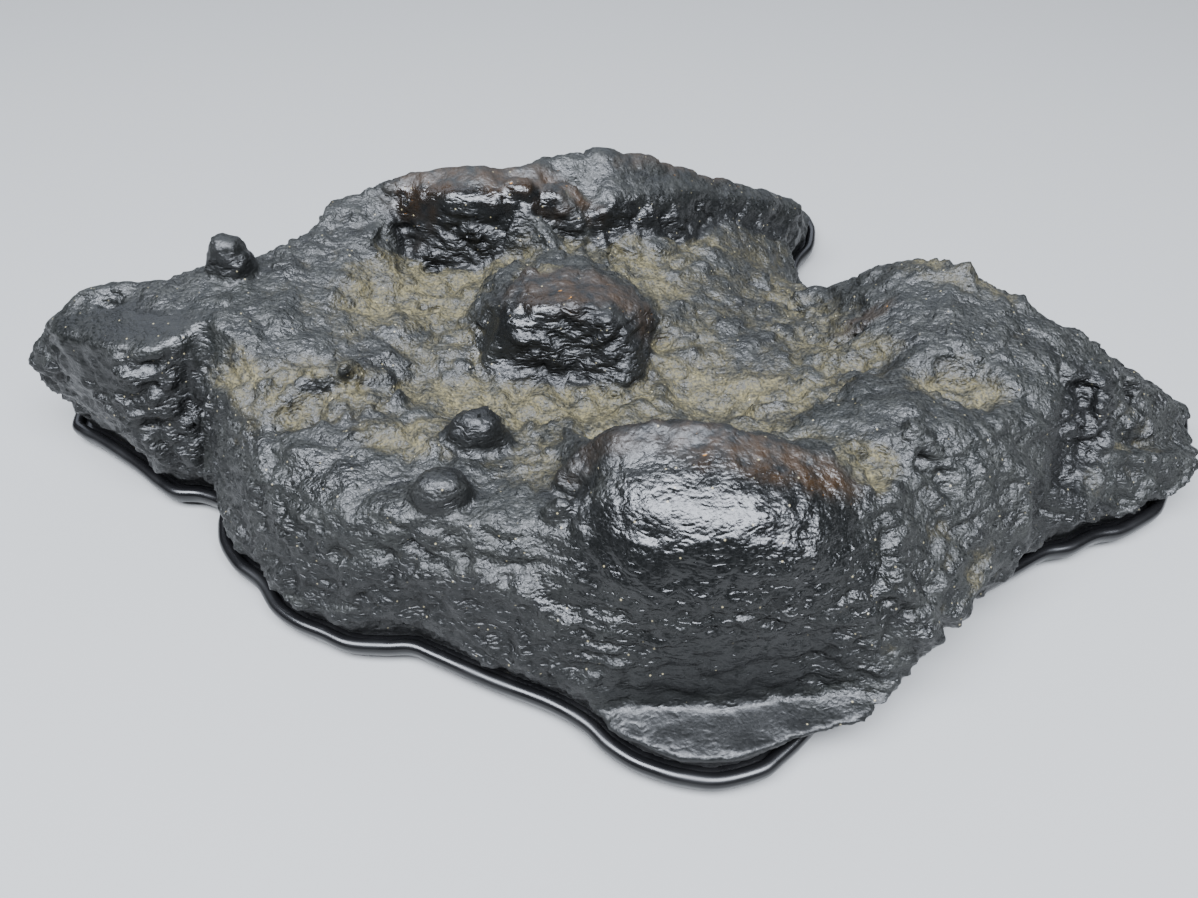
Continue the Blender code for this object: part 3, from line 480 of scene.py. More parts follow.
@dataclass(frozen=True)
class Noise:
    """Repeatable random fields in space, told apart by their seed. Points and sizes are millimetres."""

    seed: int
    lattice_gain: float = 1.7
    octave_gain: float = 1.3
    facet_tilt: float = 1.3
    pit_radii: Pair = (0.1, 0.25)
    pit_middles: Pair = (0.25, 0.75)

    def hashed(self, cells: Array, salt: int = 0) -> Array:
        """A repeatable number for each whole-number cell: its coordinates times odd factors, then mixed.

        Args:
            cells: Whole numbers, three to a cell in the last axis.
            salt: Tells several numbers of one cell apart.

        Returns:
            Numbers from 0 to 1.
        """
        whole = cells.astype(np.int64).astype(np.uint32)
        mixed = sum(whole[..., axis] * np.uint32(factor) for axis, factor in enumerate(CELL_FACTORS))
        mixed += np.uint32((self.seed * SEED_FACTOR + salt * SALT_FACTOR) & MOST_HASH)
        for shift, factor in HASH_ROUNDS:
            mixed = (mixed ^ (mixed >> np.uint32(shift))) * np.uint32(factor)
        return (mixed ^ (mixed >> np.uint32(LAST_SHIFT))) / (MOST_HASH + 1.0)

    def triple(self, cells: Array, salt: int = 0) -> Array:
        """Three repeatable numbers from 0 to 1 for each cell, in the last axis."""
        return np.stack([self.hashed(cells, salt + k) for k in range(3)], axis=-1)

    def smooth(self, points: Array, size: float | Triple, salt: int = 0) -> Array:
        """Gradient noise: a random slope at each corner of a lattice of cells, blended by the quintic S.

        Args:
            points: Rows of X, Y, Z.
            size: The cell's side, or its three sides.
            salt: Tells several fields of one seed apart.

        Returns:
            Numbers from about -1 to 1.
        """
        spot = points / np.asarray(size, float)
        cell = np.floor(spot)
        part = spot - cell
        blend = part**3 * (part * (part * 6 - 15) + 10)
        total = np.zeros(len(points))
        for corner in np.ndindex(2, 2, 2):
            slope = self.triple(cell + corner, 3 * salt) * 2 - 1
            weight = np.prod(np.where(corner, blend, 1 - blend), axis=-1)
            total += weight * ((part - corner) * slope).sum(axis=-1)
        return self.lattice_gain * total

    def fractal(self, points: Array, size: float, octaves: int) -> Array:
        """Gradient noise in octaves, each of half the size and half the height of the one before."""
        layers = (self.smooth(points, size / 2**k, salt=k) / 2 ** (k + 1) for k in range(octaves))
        return sum(layers) * self.octave_gain

    def facets(self, points: Array, size: float) -> Array:
        """Broken facets: each point takes the tilted plane of the nearest seed. Each cell has one seed.

        Args:
            points: Rows of X, Y, Z.
            size: The cell's side.

        Returns:
            The planes' heights, about -1 to 1.
        """
        spot = points / size
        cell = np.floor(spot)
        nearest, height = np.full(len(points), np.inf), np.zeros(len(points))
        for step in np.ndindex(3, 3, 3):
            other = cell + np.array(step) - 1
            away = spot - other - self.triple(other)
            distance = np.sqrt((away**2).sum(axis=-1))
            tilt = self.triple(other, 3) * 2 - 1
            plane = self.hashed(other, 6) - 0.5 + self.facet_tilt * (away * tilt).sum(axis=-1)
            closer = distance < nearest
            height = np.where(closer, plane, height)
            nearest = np.where(closer, distance, nearest)
        return height

    def pits(self, points: Array, size: float, share: float) -> Array:
        """Round pits: one minus the squared distance to a seed, in the share of the cells that have one.

        Args:
            points: Rows of X, Y, Z.
            size: The cell's side, of which the pit's radius is a random share.
            share: The share of cells with a pit.

        Returns:
            0 outside the pits, and 1 in their middle.
        """
        spot = points / size
        cell = np.floor(spot)
        least, most = self.pit_radii
        radius = least + (most - least) * self.hashed(cell, 4)
        least, most = self.pit_middles
        middle = least + (most - least) * self.triple(cell)
        away = ((spot - cell - middle) ** 2).sum(axis=-1) / radius**2
        return np.clip(1 - away, 0, 1) * (self.hashed(cell, 5) < share)


@dataclass
class Ground:
    """The height of the stone's top, drawn from spot heights along named lines and from its outer edge."""

    edge: Array
    step: float = 0.8
    blur: float = 0.8
    margin: float = 10.0
    warp: Pair = (12.0, 1.4)
    warp_sides: Pair = (1.0, 0.9)
    rounding: float = 5.0
    rounded_lobe: Oval = (16, -104, 52, 24, 0)
    lobe_blend: Pair = (1.0, 0.7)
    around_dusty_hollows: float = 14.0
    ring_stride: int = 12
    slack: float = 1e-6
    short_of_end: float = 1.001
    wander: Noise = Noise(13)
    low: Array = field(init=False)
    heights: Array = field(init=False)
    rounded: Array = field(init=False)
    hollows: Array = field(init=False)

    def __post_init__(self) -> None:
        """Triangulates the lines, so that no triangle crosses one, and reads the triangles off on a grid."""
        spots: list[Spot] = []
        joins: list[tuple[int, int]] = []
        for line in GROUND_LINES.values():
            first = len(spots)
            spots += line
            joins += [(first + k, first + k + 1) for k in range(len(line) - 1)]
        first = len(spots)
        ring = self.edge[:: self.ring_stride]
        spots += [tuple(spot) for spot in ring]
        joins += [(first + k, first + (k + 1) % len(ring)) for k in range(len(ring))]
        base = float(self.edge[:, 2].min())
        self.low = self.edge.min(axis=0) - self.margin
        high = self.edge.max(axis=0) + self.margin
        spots += [(x, y, base) for x in (self.low[0], high[0]) for y in (self.low[1], high[1])]
        drawn = self.filled(spots, joins, high, base)
        radii = (self.blur, self.rounding, self.around_dusty_hollows)
        self.heights, self.rounded, wide = (blurred(drawn, radius / self.step) for radius in radii)
        self.hollows = wide - self.heights

    def filled(self, spots: list[Spot], joins: list[tuple[int, int]], high: Array, base: float) -> Array:
        """The sloping triangles between the spots, by barycentric shares of their corners' heights.

        Args:
            spots: All points with a known height.
            joins: Pairs of them that a triangle's edge has to follow.
            high: The grid's last corner.
            base: The height outside the lines.

        Returns:
            Rows of heights along X.
        """
        known = np.array(spots, float)[:, 2]
        flat = [Vector(spot[:2]) for spot in spots]
        corners, edges, faces, sources, _, _ = delaunay_2d_cdt(flat, joins, [], 0, self.step / 2)
        tall = [known[list(source)].mean() if source else np.nan for source in sources]
        for pair in edges:
            for crossing, end in (pair, pair[::-1]):
                if np.isnan(tall[crossing]):
                    tall[crossing] = tall[end]
        xs, ys = (np.arange(self.low[axis], high[axis], self.step) for axis in (0, 1))
        grid = np.full((len(ys), len(xs)), base)
        for face in faces:
            a, b, c = (np.array((*corners[k], tall[k])) for k in face)
            area = (b[0] - a[0]) * (c[1] - a[1]) - (c[0] - a[0]) * (b[1] - a[1])
            if abs(area) < self.slack:
                continue
            columns, rows = (
                slice(*np.searchsorted(side, (min(ends), max(ends) + self.slack)))
                for side, ends in zip((xs, ys), zip(a[:2], b[:2], c[:2]))
            )
            x, y = np.meshgrid(xs[columns], ys[rows])
            u = ((x - a[0]) * (c[1] - a[1]) - (c[0] - a[0]) * (y - a[1])) / area
            v = ((b[0] - a[0]) * (y - a[1]) - (x - a[0]) * (b[1] - a[1])) / area
            inside = (u >= -self.slack) & (v >= -self.slack) & (u + v <= 1 + self.slack)
            grid[rows, columns][inside] = (a[2] + u * (b[2] - a[2]) + v * (c[2] - a[2]))[inside]
        return grid

    def read(self, grid: Array, x: Array, y: Array) -> Array:
        """The grid's value over any points, blended in a straight line between its four nearest corners.

        Args:
            grid: Rows of values along X.
            x: Where the points are along X.
            y: Where they are along Y.

        Returns:
            One value for each point.
        """
        column = np.clip((x - self.low[0]) / self.step, 0, grid.shape[1] - self.short_of_end)
        row = np.clip((y - self.low[1]) / self.step, 0, grid.shape[0] - self.short_of_end)
        i, j = column.astype(int), row.astype(int)
        s, t = column - i, row - j
        near, far = ((1 - s) * grid[k, i] + s * grid[k, i + 1] for k in (j, j + 1))
        return (1 - t) * near + t * far

    def height(self, x: Array, y: Array) -> Array:
        """The ground over any points, a little warped so that its lines wander and rounded on the worn lobe,
        plus each knob and hollow: its rise times one minus a power of the distance from its middle.

        Args:
            x: Where the points are along X.
            y: Where they are along Y.

        Returns:
            Heights in millimetres.
        """
        flat = np.column_stack([x, y, np.zeros(len(x))])
        size, reach = self.warp
        east, north = (reach * self.wander.fractal(flat, side * size, 2) for side in self.warp_sides)
        height = self.read(self.heights, x + east, y + north)
        share = smooth_step(*self.lobe_blend, oval(x, y, self.rounded_lobe))
        height = (1 - share) * height + share * self.read(self.rounded, x, y)
        for _, *place, rise, steepness in KNOBS_AND_HOLLOWS:
            height = height + rise * np.clip(1 - oval(x, y, place) ** steepness, 0, None)
        return height


@dataclass(frozen=True)
class Relief:
    """The rough relief of weathered rock. A pair is the size of a form and how far it stands proud, in mm. A
    worn share is how much of it is rubbed away where the stone is most worn, and a flat share is how much is
    left where the stone lies level."""

    noise: Noise = Noise(5)
    lumps: Pair = (12.0, 2.3)
    lump_sizes: int = 3
    lump_mean: float = 0.55
    lumps_worn: float = 0.8
    layers: Pair = (3.2, 1.0)
    layer_length: float = 4.5
    layer_sharpness: float = 2.2
    layers_flat: float = 0.25
    layers_worn: float = 0.7
    chips: Pair = (9.0, 1.2)
    chip_sizes: int = 2
    chips_flat: float = 0.3
    grain: Pair = (2.6, 0.22)
    pits: Pair = (6.0, 0.7)
    pit_share: float = 0.25
    fine_worn: float = 0.6
    swirl: Pair = (14.0, 3.0)
    calm_patches: Pair = (42.0, 0.5)
    calm_share: float = 0.5
    dark_broken: float = 0.2
    fully_broken: float = 0.45

    def creased_lumps(self, points: Array) -> Array:
        """Rounded lumps with sharp creases between them, in several sizes: twice the noise's absolute value
        less its mean, each size half as large and half as high as the one before.

        Args:
            points: Rows of X, Y, Z.

        Returns:
            Heights around 0, up to about the rise of the largest.
        """
        size, rise = self.lumps
        return sum(
            rise / 2**k * (2 * np.abs(self.noise.smooth(points, size / 2**k, 31 + k)) - self.lump_mean)
            for k in range(self.lump_sizes)
        )

    def moves(self, points: Array, normals: Array, marks: dict[Mark, Array]) -> Array:
        """How far each point moves along its normal: the sum of all forms, most in the dusty hollows and on
        dark broken faces, less on the open stone, and least where it is worn. Lumps, layers and chips follow
        a swirl, which moves the points by three fields of smooth noise.

        Args:
            points: Rows of X, Y, Z.
            normals: Their unit normals.
            marks: A value from 0 to 1 for each mark and point.

        Returns:
            Millimetres outwards.
        """
        noise, worn, steep = self.noise, marks[Mark.WORN], 1 - normals[:, 2] ** 2
        size, reach = self.swirl
        turned = points + reach * np.stack([noise.smooth(points, size, 20 + k) for k in range(3)], axis=1)
        broken = np.maximum(marks[Mark.DUST], self.dark_broken * marks[Mark.GLOOM])
        size, swing = self.calm_patches
        crumbling = self.calm_share + (1 - self.calm_share) * smooth_step(0.0, self.fully_broken, broken)
        crumbling = crumbling * (1 + swing * noise.smooth(points, size, 40)) * (1 - self.lumps_worn * worn)
        move = self.creased_lumps(turned) * crumbling
        size, rise = self.layers
        flat = (size * self.layer_length, size * self.layer_length, size)
        ridges = 1 - self.layer_sharpness * np.abs(noise.smooth(turned, flat, 30))
        sides = self.layers_flat + (1 - self.layers_flat) * steep
        move += rise * ridges * sides * (1 - self.layers_worn * worn)
        size, rise = self.chips
        for k in range(self.chip_sizes):
            height = Noise(noise.seed + 1 + k).facets(turned, size / 2**k)
            move += rise / 2**k * height * (self.chips_flat + (1 - self.chips_flat) * steep) * crumbling
        size, rise = self.grain
        move += rise * noise.fractal(points, size, 2) * (1 - self.fine_worn * worn)
        size, rise = self.pits
        move -= rise * noise.pits(points, size, self.pit_share) * (1 - self.fine_worn * worn)
        return move


class Step(Enum):
    """The steps of a finish: the kind of node, its settings, its inputs in order, and its output."""

    NOISE = ("ShaderNodeTexNoise", {}, ("Vector", "Scale", "Detail", "Roughness"), "Fac")
    RIDGES = (
        "ShaderNodeTexNoise", {"noise_type": "RIDGED_MULTIFRACTAL", "normalize": True},
        ("Vector", "Scale", "Detail", "Roughness", "Distortion"), "Fac",
    )
    CRUMBS = (
        "ShaderNodeTexVoronoi", {"normalize": True}, ("Vector", "Scale", "Detail", "Roughness"), "Distance",
    )
    CELLS = ("ShaderNodeTexVoronoi", {}, ("Vector", "Scale"), "Distance")
    CELL_NUMBERS = ("ShaderNodeTexVoronoi", {}, ("Vector", "Scale"), "Color")
    STRETCH = ("ShaderNodeMapping", {}, ("Vector", "Scale"), "Vector")
    SPREAD = (
        "ShaderNodeMapRange", {"clamp": True},
        ("Value", "From Min", "From Max", "To Max", "To Min"), "Result",
    )
    TIMES = ("ShaderNodeMath", {"operation": "MULTIPLY"}, ("0", "1"), 0)
    PLUS = ("ShaderNodeMath", {"operation": "ADD"}, ("0", "1"), 0)
    LARGER = ("ShaderNodeMath", {"operation": "MAXIMUM"}, ("0", "1"), 0)
    COLOURS = ("ShaderNodeMix", {"data_type": "RGBA"}, ("0", "6", "7"), 2)
    NUMBERS = ("ShaderNodeMix", {"data_type": "FLOAT"}, ("0", "2", "3"), 0)
    BUMP = ("ShaderNodeBump", {}, ("Height", "Distance", "Strength", "Normal"), "Normal")
    DENT = ("ShaderNodeBump", {"invert": True}, ("Height", "Distance", "Strength", "Normal"), "Normal")


@dataclass(frozen=True)
class Finish:
    """A finish, made by a recipe. Each row of it is a result's name, a step, and the step's inputs: numbers,
    or names of marks, colours, sizes, rises and earlier results. Without a recipe the finish is plain."""

    name: str
    colours: Codes
    roughness: float = 0.5
    ior: float = 1.5
    sizes_mm: Lengths = ()
    rises_mm: Lengths = ()
    marks: tuple[Mark, ...] = ()
    recipe: Recipe = ()

    def material(self) -> bpy.types.Material:
        """Builds the material, with a node for each row of the recipe. A size gives a pattern's scale, and a
        rise a bump's height. What is named as one of the shader's own inputs reaches the shader.

        Returns:
            The material.
        """
        material = bpy.data.materials.new(self.name)
        material.use_nodes = True
        tree = material.node_tree
        known: dict[str, object] = {"Roughness": self.roughness, "IOR": self.ior}
        known |= {name: linear(code) for name, code in self.colours}
        known |= {name: 1 / (size * MM) for name, size in self.sizes_mm}
        known |= {name: rise * MM for name, rise in self.rises_mm}
        known["place"] = add_node(tree, "ShaderNodeTexCoord").outputs["Object"]
        for mark in self.marks:
            read = add_node(tree, "ShaderNodeAttribute", attribute_name=mark.value)
            known[mark.value] = read.outputs["Fac"]
        for result, step, *inputs in self.recipe:
            kind, settings, names, output = step.value
            values = [known[value] if isinstance(value, str) else value for value in inputs]
            known[result] = add_node(tree, kind, dict(zip(names, values)), **settings).outputs[output]
        shader = tree.nodes["Principled BSDF"]
        for name in ("Base Color", "Roughness", "IOR", "Normal"):
            value = known.get(name)
            if isinstance(value, bpy.types.NodeSocket):
                tree.links.new(value, shader.inputs[name])
            elif value is not None:
                shader.inputs[name].default_value = value
        return material


@dataclass(frozen=True)
class WeatheredStone(Finish):
    """A dense dark rock, such as a basalt or a hard slate, weathered rough and then handled and oiled: its
    worn bosses are almost black and shine, its skin elsewhere is dulled by a grey film, and pale clay dust
    lies in its hollows. Ochre and brown show where iron in it has rusted."""

    name: str = "weathered_stone"
    colours: Codes = (
        ("black", "0a0b0b"), ("grey", "151716"), ("film", "20211e"), ("clay_shade", "2d2a1b"),
        ("clay_pale", "625a3b"), ("brown", "261a0d"), ("ochre", "a06a22"), ("pale", "9c9272"),
    )
    sizes_mm: Lengths = (
        ("patch_size", 32.0), ("crust_size", 6.0), ("crumb_size", 3.2), ("fleck_size", 2.8),
        ("crinkle_size", 1.9), ("grain_size", 0.9),
    )
    rises_mm: Lengths = (
        ("crust_rise", 1.0), ("crumb_depth", 1.6), ("crinkle_depth", 0.9), ("grain_rise", 0.1),
    )
    marks: tuple[Mark, ...] = tuple(Mark)
    recipe: Recipe = (
        # The patterns that everything else is drawn from
        ("patches", Step.NOISE, "place", "patch_size", 5.0),
        ("crust", Step.NOISE, "place", "crust_size", 6.0, 0.62),
        ("grain", Step.NOISE, "place", "grain_size", 3.0),
        ("stretched", Step.STRETCH, "place", (0.6, 0.8, 1.6)),
        ("crinkle", Step.RIDGES, "stretched", "crinkle_size", 4.0, 0.6, 0.5),
        ("crumbs", Step.CRUMBS, "place", "crumb_size", 2.0, 0.6),
        ("cells", Step.CELLS, "place", "fleck_size"),
        ("cell_numbers", Step.CELL_NUMBERS, "place", "fleck_size"),
        # Grey patches in black rock, under a broken film, which polished and dark faces have lost; on steep
        # faces and in sunken crevices that black is painted shade
        ("patchy", Step.SPREAD, "patches", 0.35, 0.65),
        ("rock", Step.COLOURS, "patchy", "black", "grey"),
        ("film_grain", Step.SPREAD, "grain", 0.34, 0.60),
        ("film_crust", Step.SPREAD, "crust", 0.36, 0.56),
        ("filmed", Step.TIMES, "film_grain", "film_crust"),
        ("rock", Step.COLOURS, "filmed", "rock", "film"),
        # Black where polished or dark; on steep faces and in crevices this black is painted shade
        ("bare", Step.LARGER, "gloom", "sheen"),
        ("rock", Step.COLOURS, "bare", "rock", "black"),
        # Brown where the crust is rusty, and ochre in its wrinkles
        ("rust_crust", Step.SPREAD, "crust", 0.36, 0.60),
        ("rusted", Step.TIMES, "rust", "rust_crust"),
        ("rock", Step.COLOURS, "rusted", "rock", "brown"),
        ("rust_crinkle", Step.SPREAD, "crinkle", 0.48, 0.72),
        ("ochred", Step.TIMES, "rust", "rust_crinkle"),
        ("rock", Step.COLOURS, "ochred", "rock", "ochre"),
        # Clay dust, most where the crust is low
        ("clay_grain", Step.SPREAD, "grain", 0.38, 0.66),
        ("clay", Step.COLOURS, "clay_grain", "clay_shade", "clay_pale"),
        ("low", Step.SPREAD, "crust", 0.62, 0.36),
        ("more_if_low", Step.NUMBERS, "low", 0.3, 1.5),
        ("settled", Step.TIMES, "dust", "more_if_low"),
        ("dusty", Step.SPREAD, "settled", 0.08, 0.85, 0.92),
        ("dusted", Step.COLOURS, "dusty", "rock", "clay"),
        # A pale fleck in a few of the cells
        ("fleck", Step.SPREAD, "cells", 0.13, 0.07),
        ("few", Step.SPREAD, "cell_numbers", 0.62, 0.66, 0.6),
        ("flecked", Step.TIMES, "fleck", "few"),
        ("Base Color", Step.COLOURS, "flecked", "dusted", "pale"),
        # Each layer's own roughness, varied by the grain
        ("rough", Step.NUMBERS, "filmed", 0.34, 0.55),
        ("rough", Step.NUMBERS, "gloom", "rough", 0.38),
        ("rough", Step.NUMBERS, "rust", "rough", 0.5),
        ("rough", Step.NUMBERS, "sheen", "rough", 0.2),
        ("rough", Step.NUMBERS, "dusty", "rough", 0.72),
        ("rough_grain", Step.SPREAD, "grain", 0.35, 0.7, 0.14),
        ("Roughness", Step.PLUS, "rough", "rough_grain"),
        # Relief too fine for the mesh: crust, crumbs, wrinkles and grain, calmer where the stone is worn
        ("calm", Step.NUMBERS, "worn", 1.0, 0.2),
        ("height", Step.TIMES, "crust", "calm"),
        ("Normal", Step.BUMP, "height", "crust_rise", 1.0),
        ("less_if_dark", Step.NUMBERS, "gloom", 1.0, 0.4),
        ("crumbly", Step.TIMES, "calm", "less_if_dark"),
        ("height", Step.TIMES, "crumbs", "crumbly"),
        ("Normal", Step.DENT, "height", "crumb_depth", 1.0, "Normal"),
        ("more_if_bare", Step.NUMBERS, "bare", 0.3, 1.0),
        ("crinkled", Step.TIMES, "crinkle", "more_if_bare"),
        ("less_if_worn", Step.NUMBERS, "worn", 1.0, 0.22),
        ("height", Step.TIMES, "crinkled", "less_if_worn"),
        ("Normal", Step.DENT, "height", "crinkle_depth", 1.0, "Normal"),
        ("Normal", Step.BUMP, "grain", "grain_rise", 1.0, "Normal"),
    )


@dataclass(frozen=True)
class BlackLacquer(Finish):
    """Black lacquer on a close-grained hardwood, brushed and rubbed: a deep black with a clear gloss, in
    which the brush has left faint waves."""

    name: str = "black_lacquered_wood"
    colours: Codes = (("Base Color", "0b0b0c"),)
    ior: float = 1.52
    sizes_mm: Lengths = (("brush_size", 14.0),)
    rises_mm: Lengths = (("wave_rise", 0.12),)
    recipe: Recipe = (
        ("waves", Step.NOISE, "place", "brush_size", 3.0),
        ("Roughness", Step.SPREAD, "waves", 0.3, 0.7, 0.375, 0.175),
        ("Normal", Step.BUMP, "waves", "wave_rise", 0.5),
    )


@dataclass
class Piece:
    """A visible piece of the object, which stands for one node of the frame."""

    name: str
    node: str
    finish: Finish

    def dress(self, piece: bpy.types.Object) -> None:
        """Gives the piece its finish and its place in the frame.

        Args:
            piece: The piece's object.
        """
        piece.data.materials.clear()
        piece.data.materials.append(self.finish.material())
        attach(piece, "root")
        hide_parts(self.node)


@dataclass
class Stone(Piece):
    """The rock: a closed surface round its outline and up over its top, with relief and paint."""

    name: str = "stone_surface"
    node: str = "stone"
    finish: Finish = WeatheredStone()
    relief: Relief = Relief()
    around: int = 720
    rings: int = 230
    wall_rows: int = 12
    seat_rows: int = 24
    seat_inset: float = 5.6
    seat_height: float = 5.8
    edge_inset: float = 3.8
    edge_height: float = 12.0
    rim_clearance_height: float = 9.0
    calm_above_rim: float = 5.0
    edge_noise: Noise = Noise(3)
    edge_wander: Pair = (14.0, 1.3)
    stretch_end: float = 0.3
    mesh_size: float = 1.15
    most_triangles: int = 196_000
    ragged_noise: Noise = Noise(9)
    ragged_size: float = 11.0
    ragged: float = 0.35
    place_fade: Pair = (1.4, 0.55)
    dust_slopes: Pair = (0.35, 0.85)
    dust_hollows: Pair = (-3.0, 7.0)
    dust_hollows_ragged: float = 2.5
    dust_in_hollows: float = 0.6
    dust_heights: Pair = (16, 32)
    painted_shade_slopes: Pair = (0.55, 0.2)
    painted_shade_slopes_ragged: float = 0.1
    painted_shade_on_slopes: float = 0.9
    raised: Pair = (0.3, 2.2)
    sunk: Pair = (0.2, -1.8)
    sheen_if_raised: float = 0.4
    painted_shade_if_sunk: float = 0.7
    dust_if_sunk: float = 0.25
    dust_off_raised: float = 0.2

    def edges(self) -> tuple[Array, Array]:
        """The closed outlines of the seat, inside the rim, and of the outer edge of the top, which wanders
        over the rim and stands out along some stretches.

        Returns:
            Two arrays of X, Y, Z.
        """
        rim = closed_curve(RIM_OUTLINE, self.around)
        reach = np.full(self.around, -self.edge_inset)
        height = np.full(self.around, self.edge_height)
        place = np.arange(self.around)
        end = self.stretch_end
        for _, x0, y0, x1, y1, further, higher in EDGE_STRETCHES:
            ends = [int(np.argmin(np.linalg.norm(rim - spot, axis=1))) for spot in ((x0, y0), (x1, y1))]
            length = (ends[1] - ends[0]) % self.around
            share = ((place - ends[0]) % self.around) / length
            swell = np.where(share <= 1, smooth_step(0, end, share) * smooth_step(1, 1 - end, share), 0)
            reach += further * swell
            height += higher * swell
        size, wander = self.edge_wander
        reach += wander * self.edge_noise.fractal(np.column_stack([rim, height]), size, 2)
        seat = np.column_stack([offset(rim, -self.seat_inset), np.full(self.around, self.seat_height)])
        return seat, np.column_stack([offset(rim, reach), height])

    def surface(self, seat: Array, edge: Array, ground: Ground) -> tuple[Array, list[list[int]]]:
        """The surface as a function of the place round the outline and of the way from the seat's middle:
        out to the seat's edge, upright past the rim, out by a quarter sine to the edge, and in over the top.

        Args:
            seat: The seat's outline.
            edge: The top's outer edge.
            ground: The height of the top.

        Returns:
            The points and the faces.
        """
        centre = np.array(CENTRE)
        rows = [
            np.column_stack([centre + (seat[:, :2] - centre) * share, seat[:, 2]])
            for share in np.linspace(0, 1, self.seat_rows + 1)[1:]
        ]
        top = ground.height(edge[:, 0], edge[:, 1])
        upright = np.column_stack([seat[:, :2], np.full(self.around, self.rim_clearance_height)])
        rows.append(upright)
        for share in np.linspace(0, 1, self.wall_rows + 1)[1:]:
            flat = upright[:, :2] + (edge[:, :2] - upright[:, :2]) * math.sin(share * math.pi / 2)
            rows.append(np.column_stack([flat, upright[:, 2] + (top - upright[:, 2]) * share]))
        for share in np.linspace(1, 0, self.rings, endpoint=False)[1:]:
            flat = centre + (edge[:, :2] - centre) * share
            rows.append(np.column_stack([flat, ground.height(flat[:, 0], flat[:, 1])]))
        faces = grid_faces(len(rows), self.around)
        bottom_pole = len(rows) * self.around
        top_pole, last = bottom_pole + 1, bottom_pole - self.around
        here = list(range(self.around))
        ahead = here[1:] + here[:1]
        faces += [[bottom_pole, b, a] for a, b in zip(here, ahead)]
        faces += [[top_pole, last + a, last + b] for a, b in zip(here, ahead)]
        poles = [[*CENTRE, self.seat_height], [*CENTRE, ground.height(centre[:1], centre[1:])[0]]]
        return np.vstack([*rows, poles]), faces

    def paint(self, points: Array, normals: Array, ground: Ground) -> dict[Mark, Array]:
        """Where each mark lies: listed ovals and bands with ragged edges, dust in every hollow that
        looks up and isn't low on the sides, and the dark mark on every steep face, as painted shade.

        Args:
            points: Rows of X, Y, Z.
            normals: Their unit normals.
            ground: The height of the top.

        Returns:
            A value from 0 to 1 for each mark and point.
        """
        x, y, z = points.T
        ragged = self.ragged_noise.fractal(points, self.ragged_size, 3)
        marks = {}
        for mark in Mark:
            away = [(oval(x, y, place), most) for *place, most in PLACES[mark]]
            for line, half_width, most in BANDS.get(mark, ()):
                away.append((distance_to(GROUND_LINES[line], x, y) / half_width, most))
            shown = [most * smooth_step(*self.place_fade, far + self.ragged * ragged) for far, most in away]
            marks[mark] = np.max(shown, axis=0)
        hollow = ground.read(ground.hollows, x, y) + self.dust_hollows_ragged * ragged
        dust = np.maximum(self.dust_in_hollows * smooth_step(*self.dust_hollows, hollow), marks[Mark.DUST])
        dust = dust * smooth_step(*self.dust_slopes, normals[:, 2]) * smooth_step(*self.dust_heights, z)
        # Painted shade: every steep face is darkened by its slope alone, as it lies in shade
        steep = smooth_step(*self.painted_shade_slopes, normals[:, 2] + self.painted_shade_slopes_ragged * ragged)
        marks[Mark.GLOOM] = np.maximum(marks[Mark.GLOOM], self.painted_shade_on_slopes * steep)
        marks[Mark.DUST] = dust * (1 - np.maximum(marks[Mark.WORN], marks[Mark.GLOOM]))
        return marks

    def repaint(self, marks: dict[Mark, Array], move: Array) -> None:
        """Lets what stands proud shine, darkens what lies low as painted shade, and lets dust gather there.

        Args:
            marks: The marks to change.
            move: How far each point has moved outwards.
        """
        raised, sunk = smooth_step(*self.raised, move), smooth_step(*self.sunk, move)
        dust = marks[Mark.DUST]
        marks[Mark.SHEEN] = np.maximum(marks[Mark.SHEEN], self.sheen_if_raised * raised * (1 - dust))
        # Painted shade: what lies low after the relief is darkened, as crevices lie in shade
        gloom = marks[Mark.GLOOM] = np.maximum(marks[Mark.GLOOM], self.painted_shade_if_sunk * sunk)
        dust = dust + self.dust_if_sunk * sunk * (1 - gloom) - self.dust_off_raised * raised
        marks[Mark.DUST] = np.clip(dust, 0, 1)

    def build(self) -> bpy.types.Object:
        """Makes the stone: the surface, evened out into small squares, then its relief and its paint.

        Returns:
            The object.
        """
        seat, edge = self.edges()
        ground = Ground(edge)
        stone = new_object(self.name, *self.surface(seat, edge, ground))
        even = stone.modifiers.new("even squares", "REMESH")
        even.mode = "VOXEL"
        even.voxel_size = self.mesh_size * MM
        apply_modifiers(stone)
        points = read_rows(stone.data.vertices, "co") / MM
        normals = read_rows(stone.data.vertex_normals, "vector")
        marks = self.paint(points, normals, ground)
        clear = self.rim_clearance_height
        move = self.relief.moves(points, normals, marks)
        move *= smooth_step(clear, clear + self.calm_above_rim, points[:, 2])
        stone.data.vertices.foreach_set("co", ((points + normals * move[:, None]) * MM).ravel())
        self.repaint(marks, move)
        for mark, values in marks.items():
            attribute = stone.data.attributes.new(mark.value, "FLOAT", "POINT")
            attribute.data.foreach_set("value", values.astype(np.float32))
        thin = stone.modifiers.new("fewer flat faces", "DECIMATE")
        thin.ratio = min(1.0, self.most_triangles / (2 * len(stone.data.polygons)))
        apply_modifiers(stone)
        stone.data.shade_smooth()
        return stone


